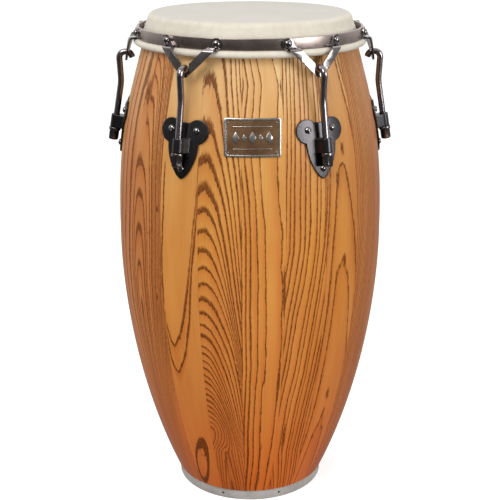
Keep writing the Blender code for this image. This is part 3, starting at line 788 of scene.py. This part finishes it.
def back_grain(rng, u, z):
    """A stave drawn at random: arches, loops upside down, or straight lines."""
    kind = rng.integers(0, 4)
    tone = rng.uniform(-0.5, 0.7)
    if kind < 2:
        slope = rng.uniform(0.06, 0.12) * (1 if kind else -1)
        start = rng.uniform(0.004, 0.02) + (0 if kind else 0.09)
        depth = ([0.0, 0.76], [start, start + 0.76 * slope])
        ring = arches(u, z, rng.uniform(-0.02, 0.02), rng.uniform(-0.05, 0.05), depth,
                      rng.uniform(0.0028, 0.006))
        return Grain(ring, rng.uniform(0.16, 0.3), 0.0014, rng.uniform(0.75, 1.0), tone=tone)
    lean = rng.uniform(-0.05, 0.05) * (1 if kind == 2 else 0.3)
    pitch = rng.uniform(0.002, 0.004) if kind == 2 else rng.uniform(0.006, 0.012)
    return Grain((u - lean * z) / pitch, 0.14, 0.0017, rng.uniform(0.7, 1.0), tone=tone)


# ---------------------------------------------------------------- shell

STAVE_COLUMNS = {True: 32, False: 18}      # by whether the stave faces the camera
JOINT_CHAMFER = 0.00030


def stave_profile():
    """The closed outline of a stave's section, foot to edge outside and back inside."""
    outer = bezier_points(LOWER_CURVE, 100) + bezier_points(UPPER_CURVE, 84)[1:]
    outer = [p for p in outer if p.y < BEARING_CENTRE.y - 0.003]
    edge = arc(BEARING_CENTRE, BEARING_ROUND, 0.0, pi / 2, 8)
    flat_end = edge[-1] - Vector((0.0024, 0.0))
    inner_top = Vector((float(shell_radius(0.75)) - WALL, 0.75))
    inner = bezier_points(UPPER_CURVE, 24)[-2:0:-1] + bezier_points(LOWER_CURVE, 30)[::-1]
    inner = [Vector((p.x - WALL, p.y)) for p in inner]
    foot = [Vector((FOOT_INNER_RADIUS, 0.0)), Vector((FOOT_REBATE_RADIUS, 0.0)),
            Vector((FOOT_REBATE_RADIUS, FOOT_HEIGHT))]
    return foot + outer + edge + [flat_end, inner_top] + inner, len(foot) + len(outer) + len(edge)


def store(mesh, name, values, kind="FLOAT"):
    attribute = mesh.attributes.new(name, kind, "POINT")
    key = "value" if kind == "FLOAT" else "vector"
    attribute.data.foreach_set(key, np.ascontiguousarray(values, np.float32).ravel())


def make_stave(number, looks):
    profile, outside = stave_profile()
    left = FIRST_JOINT + (number - 1) * STAVE_ANGLE
    if left > 180 - STAVE_ANGLE / 2:
        left -= 360
    chamfer = degrees(JOINT_CHAMFER / 0.19)
    inner_steps = np.linspace(0, STAVE_ANGLE, STAVE_COLUMNS[number in FRONT_STAVES])[1:-1]
    steps = np.concatenate(([0.0, chamfer], inner_steps,
                            [STAVE_ANGLE - chamfer, STAVE_ANGLE]))
    columns = left + steps
    radius = np.array([p.x for p in profile])
    height = np.array([p.y for p in profile])
    rows = len(profile)
    verts = []
    for k, azimuth in enumerate(np.radians(columns)):
        at_joint = k in (0, len(columns) - 1)
        r = radius.copy()
        r[:outside] -= JOINT_CHAMFER if at_joint else 0.0
        verts.append(np.stack([r * np.sin(azimuth), -r * np.cos(azimuth), height], axis=1))
    faces = []
    for k in range(len(columns) - 1):
        for i in range(rows):
            j = (i + 1) % rows
            faces.append((k * rows + i, (k + 1) * rows + i, (k + 1) * rows + j, k * rows + j))
    last = (len(columns) - 1) * rows
    faces.append(tuple(range(rows - 1, -1, -1)))
    faces.append(tuple(range(last, last + rows)))
    mesh = bpy.data.meshes.new("stave")
    mesh.from_pydata(np.concatenate(verts).tolist(), [], faces)
    mesh.validate()

    a = np.repeat(columns, rows)
    z = np.tile(height, len(columns))
    middle = left + STAVE_ANGLE / 2
    u = np.radians(a - middle) * 0.19
    rng = np.random.default_rng(500 + number)
    wander = ripple(u, z, rng, 0.06)
    bend = 0.0012 * ripple(u, z, rng, 0.11)
    if number in FRONT_STAVES:
        grain = front_grain(number, a + 0.25 * ripple(u, z, rng, 0.05), u + bend, z)
    else:
        grain = back_grain(rng, u + bend, z)
    ring = grain.ring + 0.10 * wander + 40 * number
    table = ring.reshape(len(columns), rows)
    across = np.gradient(table, np.radians(columns) * 0.19, axis=0)
    outer = slice(3, outside)
    along = np.zeros_like(table)
    along[:, outer] = np.gradient(table[:, outer], height[outer], axis=1)
    density = np.hypot(across, along).ravel()
    flat = np.ones_like(z)
    store(mesh, "ring", ring)
    store(mesh, "band", np.clip(grain.line * density, grain.share, 0.55))
    store(mesh, "strength", grain.strength * flat)
    store(mesh, "mark", grain.mark * flat)
    store(mesh, "tone", grain.tone * flat + 0.15 * wander)
    store(mesh, "height", z)
    store(mesh, "fibre", np.stack([u, z, number * 7.0 * flat], axis=1), "FLOAT_VECTOR")
    mesh.materials.append(looks["wood"])
    mesh.materials.append(looks["raw_wood"])
    inside = [(i % rows) >= outside for i in range((len(columns) - 1) * rows)] + [False, False]
    mesh.polygons.foreach_set("material_index", np.array(inside, np.int32))
    mesh.shade_smooth()
    mesh.set_sharp_from_angle(angle=radians(35))
    piece(f"stave_{number:02d}", mesh, None, ROOT, ["shell"])


def make_band(looks):
    """The steel band round the foot, held with small nails."""
    low = Vector((FOOT_REBATE_RADIUS + PLAY, 0.0))
    outline = rounded_rectangle(low, Vector((BAND_HIGH.x, BAND_HIGH.z)), 0.0006, 3)
    piece("foot_band", mesh_from(lathe(outline, 160), "foot_band"), looks["band"], ROOT,
          ["bottom_band"])
    nail = turned("band_nail", ((0.0, 0.0011), (0.0010, 0.00095), (0.0019, 0.0005),
                                (0.0023, 0.0), (0.0023, -0.0004), (0.0, -0.0004)), 20, 40)
    for i, azimuth in enumerate(BAND_NAILS):
        turn = radians(azimuth)
        place = on_cylinder(turn, BAND_HIGH.x, BAND_NAIL_HEIGHT)
        piece(f"band_nail_{i + 1}", nail, looks["fastener"], ROOT, (),
              standing_off(place, on_cylinder(turn, 1.0, 0.0)))


def standing_off(place, normal):
    """A matrix at a point whose local Z is the outward normal."""
    matrix = normal.to_track_quat("Z", "X").to_matrix().to_4x4()
    matrix.translation = place
    return matrix


# ---------------------------------------------------------------- badge

ARC_OVER_CHORD = 1.008             # the badge is bent round the shell

def on_badge(along, height, offset):
    return on_shell(along, height, PLAY + offset)


def bent_relief(name, outline, columns, rows, inner, outer):
    return mesh_from(plate_solid(outline, columns, rows, on_badge, inner, outer), name)


def make_badge(looks):
    """A framed plate with a row of lozenges between two rules, and four pins."""
    half = (BADGE_HIGH.x - BADGE_LOW.x) / 2 * ARC_OVER_CHORD
    low, high = Vector((-half, BADGE_LOW.z)), Vector((half, BADGE_HIGH.z))
    middle = (low + high) / 2
    inset = Vector((0.0032, 0.0032))
    gap = Vector((0.00005, 0.00005))
    columns = [half * k / 8 for k in range(-7, 8)]

    base = bent_relief("badge", rounded_rectangle(low, high, 0.0030), columns, [middle.y],
                       0.0, 0.0016)
    pocket = bent_relief("pocket", rounded_rectangle(low + inset, high - inset, 0.0012), columns,
                         [middle.y], 0.0010, 0.0040)
    border = bevelled(combined(base, (("DIFFERENCE", pocket),)), 0.00035, 40, 2)
    piece("badge_border", border, looks["border"], ROOT, ["badge_plate"])
    outline = rounded_rectangle(low + inset + gap, high - inset - gap, 0.0012)
    field = bent_relief("field", outline, columns, [middle.y], 0.00102, 0.00115)
    piece("badge_field", field, looks["field"], ROOT)

    shapes = []
    for k in range(-2, 3):
        size = Vector((0.0052, 0.0085)) * (1.0 if k % 2 == 0 else 0.62)
        centre = middle + Vector((k * 0.0115, 0.0))
        corners = ((size.x, 0), (0, size.y), (-size.x, 0), (0, -size.y))
        shapes.append([centre + Vector(corner) for corner in corners])
    for side in (-1, 1):
        centre = middle + Vector((0.0, side * 0.0150))
        rule = Vector((0.0270, 0.0005))
        shapes.append(rounded_rectangle(centre - rule, centre + rule, 0.00045, 2))
    for i, outline in enumerate(shapes):
        relief = bent_relief("relief", outline, [middle.x], [], 0.0011, 0.00175)
        piece(f"badge_relief_{i + 1}", bevelled(relief, 0.0003, 30, 2), looks["border"], ROOT)

    pin = turned("pin", ((0.0, 0.0009), (0.0008, 0.0008), (0.0013, 0.0004), (0.0014, 0.0),
                         (0.0014, -0.0003), (0.0, -0.0003)), 16, 40)
    reach = Vector((half - 0.0062, (high.y - low.y) / 2 - 0.0062))
    for i, (x, y) in enumerate(((-1, -1), (1, -1), (-1, 1), (1, 1))):
        along, height = x * reach.x, middle.y + y * reach.y
        place = on_badge(along, height, 0.00115)
        normal = (on_badge(along, height, 0.01) - place).normalized()
        piece(f"badge_pin_{i + 1}", pin, looks["fastener"], ROOT, (),
              standing_off(place, normal))


# ---------------------------------------------------------------- head and rim

HEAD_SEGMENTS = 180


def offset_outline(path, distance):
    moved = []
    for i, point in enumerate(path):
        before = path[max(i - 1, 0)]
        after = path[min(i + 1, len(path) - 1)]
        heading = (after - before).normalized()
        moved.append(point + Vector((-heading.y, heading.x)) * distance)
    return moved


def hide_path():
    """Middle of the hide, from the axis over the bearing edge and round the hoop."""
    level = HEAD_TOP - HIDE / 2
    radii = (0.0, 0.02, 0.04, 0.06, 0.08, 0.10, 0.115, 0.128, 0.136)
    flat = [Vector((radius, level)) for radius in radii]
    shoulder = arc(BEARING_CENTRE, BEARING_ROUND + PLAY + HIDE / 2, pi / 2, radians(12), 12)
    wrap = HOOP_WIRE + PLAY + HIDE / 2
    roll = arc(HOOP, wrap, radians(198), radians(475), 40)
    start, end = shoulder[-1], roll[0]
    curve = (start, start + Vector((0.0014, -0.0075)), end + Vector((-0.0030, 0.0085)), end)
    return flat + shoulder + bezier_points(curve, 14)[1:-1] + roll


def make_head(looks):
    path = hide_path()
    top = offset_outline(path, HIDE / 2)
    under = offset_outline(path, -HIDE / 2)
    for layer in (top, under):
        layer[0].x = 0.0
    mesh = turned("head", top + under[::-1], HEAD_SEGMENTS, 60)
    rng = np.random.default_rng(11)
    count = len(mesh.vertices)
    co = np.zeros(count * 3)
    mesh.vertices.foreach_get("co", co)
    co = co.reshape(-1, 3)
    radius = np.hypot(co[:, 0], co[:, 1])
    turn = np.arctan2(co[:, 0], -co[:, 1])
    collar = np.clip((radius - 0.1515) / 0.006, 0, 1)
    pleat = sum(rng.uniform(0.3, 1.0) * np.sin(turn * waves + rng.uniform(0, TAU))
                for waves in (9, 17, 26, 41, 63))
    swell = 1 + collar * pleat * 0.00012 / np.maximum(radius, 0.05)
    co[:, 0] *= swell
    co[:, 1] *= swell
    co[:, 2] += collar * 0.00018 * np.sin(turn * 13 + 1.0) * np.sin(turn * 5)
    mesh.vertices.foreach_set("co", co.ravel())
    store(mesh, "skirt", np.clip((radius - 0.1440) / 0.006, 0, 1))
    mesh.materials.append(looks["hide"])
    skin = add_object("rawhide_skin", mesh)
    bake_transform(skin)
    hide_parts("rawhide_head")


def make_rim(looks):
    low = Vector((RIM_OUTER - 0.0035, RIM_LOW.z))
    high = Vector((RIM_OUTER, RIM_HIGH.z))
    outline = rounded_rectangle(low, high, 0.0008, 4)
    piece("rim_ring", mesh_from(lathe(outline, 200), "rim_ring"), looks["rim"], CROWN,
          ["crown_rim"])


# ---------------------------------------------------------------- straps

STRAP_LINE = filleted(list(STRAP_SECTION), (0.0020, 0.0024), 8)


def on_strap(along, height, offset):
    """A point of the strap, whose folds are rounded."""
    heights = [-p.y for p in STRAP_LINE]
    radii = [p.x for p in STRAP_LINE]
    radius = float(np.interp(-height, heights, radii))
    step = 0.0002
    up = Vector((float(np.interp(-height - step, heights, radii)), height + step))
    down = Vector((float(np.interp(-height + step, heights, radii)), height - step))
    heading = (down - up).normalized()
    place = Vector((radius, height)) + Vector((-heading.y, heading.x)) * offset
    return on_cylinder(along / STRAP_FACE, place.x, place.y)


def strap_outline():
    along = Vector((cos(STRAP_ARM_ANGLE), sin(STRAP_ARM_ANGLE)))
    below = Vector((along.y, -along.x))
    lower_edge = STRAP_EAR + below * STRAP_ARM_HALF
    upper_edge = STRAP_EAR - below * STRAP_ARM_HALF
    foot = lower_edge - along * ((lower_edge.y - STRAP_BOTTOM - 0.003) / along.y)
    kink = upper_edge - along * ((upper_edge.x - SLOT_HALF) / along.x)
    meet = acos(STRAP_ARM_HALF / STRAP_EAR_RADIUS)
    start = STRAP_ARM_ANGLE - pi / 2 - meet
    ear = arc(STRAP_EAR, STRAP_EAR_RADIUS, start, start + pi + 2 * meet, 28)
    slot = arc(Vector((0.0, SLOT_BOTTOM + SLOT_HALF)), SLOT_HALF, 0.0, -pi / 2, 10)
    blunt = filleted([Vector((0.0, STRAP_BOTTOM)), Vector((0.0032, STRAP_BOTTOM)), foot,
                      foot + along * 0.01], (0.0022, 0.0015), 6)[:-1]
    return mirrored(blunt + ear + [kink] + slot)


def strap_mesh():
    columns = [0.004 * k for k in range(-12, 13)]
    folds = [p.y for p in STRAP_LINE[1:-1]]
    folds += list(np.arange(0.6915, 0.7150, 0.004)) + [0.7385, 0.7420]
    solid = plate_solid(strap_outline(), columns, folds, on_strap, -STRAP_PLATE / 2, STRAP_PLATE / 2)
    return bevelled(mesh_from(solid, "strap"), 0.0007, 60, 3)


def cross_tool(reach, width, low, high):
    """A cross to cut in a screw's head."""
    section = []
    for quarter in range(4):
        turn = Matrix.Rotation(quarter * pi / 2, 2)
        section += [turn @ Vector(p) for p in ((width, width), (width, reach), (-width, reach))]
    return mesh_from(prism(section, low, high), "cross")


def screw_mesh():
    """A domed cross-head screw with its inner end riveted over."""
    neck = STRAP_PLATE + 2 * PLAY
    inner = -0.0048
    line = dome(0.0052, neck + 0.0005, 0.0029, 1.2)
    line += [(0.0052, neck), (0.00275, neck), (0.00275, inner), (0.0045, inner),
             (0.0042, inner - 0.0009), (0.0030, inner - 0.0013), (0.0, inner - 0.0014)]
    cut = cross_tool(0.0025, 0.00042, neck + 0.0016, neck + 0.006)
    cut.transform(Matrix.Rotation(0.5, 4, "Z"))
    made = combined(turned("screw", line, 32), (("DIFFERENCE", cut),))
    made.set_sharp_from_angle(angle=radians(38))
    return made


# ---------------------------------------------------------------- hooks, plates, nuts, bolts

def lug_frames():
    """Azimuth, bodies and rod frame of each lug, from the nuts' joints."""
    lugs = []
    for number in range(1, LUG_COUNT + 1):
        spin = next(joint for joint in frame["joints"] if joint["name"] == f"nut_spin_{number}")
        slide = next(joint for joint in frame["joints"] if joint["name"] == f"hook_slide_{number}")
        x, y, z = spin["pos_m"]
        lean = acos(spin["axis"][2])
        lugs.append({"number": number, "azimuth": atan2(x, -y), "reach": hypot(x, y),
                     "height": z, "lean": lean, "hook": slide["child"], "nut": spin["child"]})
    return lugs


LUGS = lug_frames()
EAR_REACH = LUGS[0]["reach"]
EAR_HEIGHT = LUGS[0]["height"]
ROD_LEAN = LUGS[0]["lean"]
ROD_FRAME = Matrix.Translation((0, -EAR_REACH, EAR_HEIGHT)) @ Matrix.Rotation(-ROD_LEAN, 4, "X")


def rod_point(height):
    return Vector((EAR_REACH + (EAR_HEIGHT - height) * tan(ROD_LEAN), height))


def hook_mesh():
    """A bent rod with a rolled thread on its straight end and a chamfered tip."""
    corners = [rod_point(0.5730), rod_point(0.6580), Vector((0.1980, 0.7018)),
               Vector((0.1812, 0.7018)), Vector((0.1778, 0.6935))]
    bends = filleted(corners, (0.060, 0.009, 0.008), 14)
    start, heading = bends[0], (bends[1] - bends[0]).normalized()
    steps = int(THREAD_LENGTH / THREAD_PITCH * 6)
    path = [start + heading * i * THREAD_PITCH / 6 for i in range(steps)]
    path += [start + heading * (THREAD_LENGTH + 0.004 * k) for k in range(7)]
    path = [p for p in path if p.y < bends[1].y - 0.001] + bends[1:]
    beyond = path[-1] + (path[-1] - path[-2]).normalized() * 0.0001
    fine_tip = [path[-2].lerp(path[-1], k / 6) for k in range(1, 6)]
    path = path[:-1] + fine_tip + [path[-1], beyond]
    length = sum((b - a).length for a, b in zip(path, path[1:]))

    def radius_at(run, angle):
        groove = 0.0
        if run < THREAD_LENGTH:
            turn = (run / THREAD_PITCH - angle / TAU) % 1.0
            flank = abs(2 * turn - 1)
            fade = min(1.0, (THREAD_LENGTH - run) / 0.002, (run + 0.0006) / 0.0012)
            groove = THREAD_DEPTH * fade * (1 - flank * 1.25 if flank < 0.8 else 0.0)
        chamfer = TIP_CHAMFER * (1 - min(length - run, 0.0009) / 0.0009)
        return ROD_RADIUS - groove - chamfer

    return mesh_from(tube(path, 24, radius_at), "hook", 50)


def plate_half_outline():
    notch = Vector((0.0, PLATE_NOTCH))
    start = pi - asin((PLATE_NOTCH - LOBE_CENTRE.y) / LOBE_RADIUS)
    waist = PLATE_WAIST - LOBE_CENTRE
    lobe = arc(LOBE_CENTRE, LOBE_RADIUS, start, atan2(waist.y, waist.x), 28)
    flank = bezier_points((PLATE_WAIST, *PLATE_FLANK, PLATE_TIP_EDGE), 16)
    return [notch] + lobe + flank[1:] + [Vector((0.0, PLATE_TIP))]


def hole_tool(places, radius, reach, sides=32):
    bm = bmesh.new()
    for place in places:
        bmesh.ops.create_cone(bm, cap_ends=True, segments=sides, radius1=radius, radius2=radius,
                              depth=2 * reach, matrix=place)
    return mesh_from(bm, "hole_tool")


def bolt_matrix(along, height):
    place = on_shell(along, height, 0.0)
    return standing_off(place, (on_shell(along, height, 0.01) - place).normalized())


def side_plate_mesh():
    """A cast plate: heart and ear joined, then softened as a casting is."""
    columns = [0.004 * k for k in range(-10, 11)]
    rows = list(np.arange(0.550, 0.632, 0.004))
    outline = mirrored(plate_half_outline())
    heart = mesh_from(plate_solid(outline, columns, rows, on_shell, PLAY, PLAY + PLATE), "heart")
    front = arc(Vector((0.0, 0.0)), EAR_ROUND, 0.0, pi, 20)
    section = front + [Vector((-EAR_BASE.x, -EAR_BASE.y)), Vector((EAR_BASE.x, -EAR_BASE.y))]
    section = [Vector((p.x, -p.y)) for p in section]
    ear = mesh_from(prism(section, -EAR_LENGTH / 2, EAR_LENGTH / 2), "ear")
    ear.transform(ROD_FRAME)
    bolts = [bolt_matrix(*at) for at in BOLT_PLACES.values()]
    steps = (("UNION", ear), ("DIFFERENCE", hole_tool(bolts, BOLT_HOLE, 0.008)),
             ("DIFFERENCE", hole_tool([ROD_FRAME], EAR_BORE, EAR_LENGTH)))
    soften = (("REMESH", {"mode": "VOXEL", "voxel_size": 0.00055, "adaptivity": 0.0}),
              ("SMOOTH", {"factor": 0.5, "iterations": 6}),
              ("DECIMATE", {"ratio": 0.30}))
    return combined(heart, steps, soften)


def nut_mesh():
    """A flanged hexagonal nut with a domed end, in the rod's frame."""
    top = -EAR_LENGTH / 2 - PLAY
    length, flange, edge = 0.0192, 0.0045, 0.0008
    low = top - length
    body = mesh_from(prism(hexagon(0.0143), low, top - flange * 0.5), "hexagon")
    crown = ((0.0, low), (0.0063, low), (0.0074, low + 0.0009), (0.0081, low + 0.0026),
             (0.0086, low + 0.0058), (0.0086, top), (0.0, top))
    disc = arc(Vector((0.0081, top - flange + edge)), edge, -pi / 2, 0, 4)
    disc += arc(Vector((0.0081, top - edge)), edge, 0, pi / 2, 4)
    disc = [(0.0, top - flange), *disc, (0.0, top)]
    bore = hole_tool([Matrix.Translation((0, 0, low + length / 2))], NUT_BORE, length)
    steps = (("INTERSECT", turned("rounding", crown, 64)), ("UNION", turned("flange", disc, 64)),
             ("DIFFERENCE", bore))
    made = combined(body, steps, (("BEVEL", {"width": 0.0003, "segments": 2,
                                             "limit_method": "ANGLE",
                                             "angle_limit": radians(28)}),))
    made.set_sharp_from_angle(angle=radians(35))
    return made


def bolt_mesh():
    """A round-head bolt through plate and stave; its local Z points out of the drum."""
    neck = PLATE + 2 * PLAY
    inner = -(WALL + 0.0012)
    line = dome(0.0048, neck + 0.0003, 0.0030, 1.1)
    line += [(0.0048, neck), (BOLT_SHANK, neck), (BOLT_SHANK, inner), (0.0075, inner),
             (0.0075, inner - 0.0012), (BOLT_SHANK, inner - 0.0012),
             (BOLT_SHANK, inner - 0.0058), (0.0019, inner - 0.0064), (0.0, inner - 0.0064)]
    slot_section = rounded_rectangle(Vector((-0.006, -0.00045)), Vector((0.006, 0.00045)), 0.0002, 1)
    slot = mesh_from(prism(slot_section, neck + 0.0021, neck + 0.006), "slot")
    slot.transform(Matrix.Rotation(0.6, 4, "Z"))
    nut = mesh_from(prism(hexagon(0.011), inner - 0.0052, inner - 0.0006), "inner_nut")
    made = combined(turned("bolt", line, 32), (("DIFFERENCE", slot), ("UNION", nut)))
    made.set_sharp_from_angle(angle=radians(35))
    return made


def make_lugs(looks):
    strap, screw = strap_mesh(), screw_mesh()
    plate, bolt = side_plate_mesh(), bolt_mesh()
    hook, nut = hook_mesh(), nut_mesh()
    for lug in LUGS:
        number = lug["number"]
        turn = Matrix.Rotation(lug["azimuth"], 4, "Z")
        piece(f"v_strap_{number}", strap, looks["strap"], CROWN,
              [f"rim_strap_{number}"], turn)
        for label, side in (("left", -1), ("right", 1)):
            azimuth = side * STRAP_EAR.x / STRAP_FACE
            place = standing_off(on_cylinder(azimuth, RIM_OUTER, STRAP_EAR.y),
                                 on_cylinder(azimuth, 1.0, 0.0))
            piece(f"screw_{number}_{label}", screw, looks["fastener"], CROWN,
                  [f"strap_screw_{number}_{label}"], turn @ place)
        piece(f"lug_plate_{number}", plate, looks["plate"], ROOT,
              [f"side_plate_{number}"], turn)
        for label, at in BOLT_PLACES.items():
            piece(f"bolt_{number}_{label}", bolt, looks["fastener"], ROOT,
                  [f"plate_bolt_{number}_{label}"], turn @ bolt_matrix(*at))
        piece(f"hook_rod_{number}", hook, looks["rod"], lug["hook"],
              [f"tuning_hook_{number}"], turn)
        piece(f"flange_nut_{number}", nut, looks["nut"], lug["nut"],
              [f"lug_nut_{number}"], turn @ ROD_FRAME)


# ---------------------------------------------------------------- stage

STUDIO_FRONT = 0.15                # brightness of the studio in front of the drum
STUDIO_ABOVE = 0.55                # added overhead
STUDIO_BELOW = 0.40                # share of it that is left below the horizon
FLOOR_GLOW = 0.38                  # keeps the pale floor white in the dimmer studio
FLOOR_REACH = 60.0
LIT_POINT = Vector((0.0, 0.0, 0.42))
# Name, place, size, power, and whether metals mirror it
LIGHTS = (("key", (-1.2, -2.0, 2.7), 1.4, 59.0, True),
          ("fill", (2.1, -1.5, 1.1), 1.2, 39.0, True),
          ("bounce", (0.1, -1.5, 0.08), 1.8, 14.0, False),
          ("left_bounce", (-1.9, -0.8, 0.20), 1.4, 18.0, False))


def floor_look():
    look = Look("floor_pale", Base_Color=rgb(0.80, 0.80, 0.80), Roughness=0.9,
                Emission_Strength=FLOOR_GLOW, Emission_Color=rgb(1.0, 1.0, 1.0))
    return look.material


def studio_world():
    """A white studio that is dim low down in front, where the dark metals mirror it."""
    world = bpy.data.worlds.new("studio")
    world.use_nodes = True
    nodes = Nodes(world.node_tree)
    way = nodes.node("SeparateXYZ", {0: nodes.node("TexCoord").outputs["Generated"]}).outputs
    above = nodes.between(way["Z"], 0.35, 0.85, 0.0, STUDIO_ABOVE)
    behind = nodes.between(way["Y"], -0.35, 0.65, STUDIO_FRONT, 1.0)
    below = nodes.between(way["Z"], -0.20, 0.05, STUDIO_BELOW, 1.0)
    background = world.node_tree.nodes["Background"].inputs
    nodes.feed(background["Strength"], nodes.times(nodes.plus(above, behind), below))
    nodes.feed(background["Color"], rgb(1.0, 1.0, 1.0))
    bpy.context.scene.world = world
    bpy.context.scene.view_settings.view_transform = "Standard"


def make_stage():
    """A pale floor, soft lights and the studio round them."""
    bm = bmesh.new()
    bmesh.ops.create_grid(bm, x_segments=1, y_segments=1, size=FLOOR_REACH)
    floor = add_object("floor", mesh_from(bm, "floor"))
    floor.data.materials.append(floor_look())
    floor.visible_glossy = False
    floor.visible_diffuse = False
    studio_world()
    for name, place, size, energy, mirrored_in_metal in LIGHTS:
        light = bpy.data.lights.new(name, "AREA")
        light.size = size
        light.energy = energy
        made = add_object(name, light)
        made.location = place
        towards = LIT_POINT - Vector(place)
        made.rotation_euler = towards.to_track_quat("-Z", "Y").to_euler()
        made.visible_glossy = mirrored_in_metal


def make_camera():
    """The camera, a little left of the front and looking down."""
    distance, height = 1.6779, 0.9412
    heading, pitch = radians(1.02), 0.3234
    data = bpy.data.cameras.new("camera")
    data.sensor_width = 36.0
    data.lens = 79.37
    data.shift_y = 0.0074
    camera = add_object("camera", data)
    camera.location = (-distance * sin(heading), -distance * cos(heading), height)
    camera.rotation_euler = (pi / 2 - pitch, 0.0, -heading)
    bpy.context.scene.camera = camera


def main():
    looks = make_looks()
    for number in range(1, STAVE_COUNT + 1):
        make_stave(number, looks)
    make_band(looks)
    make_badge(looks)
    make_head(looks)
    make_rim(looks)
    make_lugs(looks)
    hoop = frame["nodes"]["flesh_hoop"].data
    hoop.materials.clear()
    hoop.materials.append(looks["hoop"])
    make_stage()
    make_camera()


main()
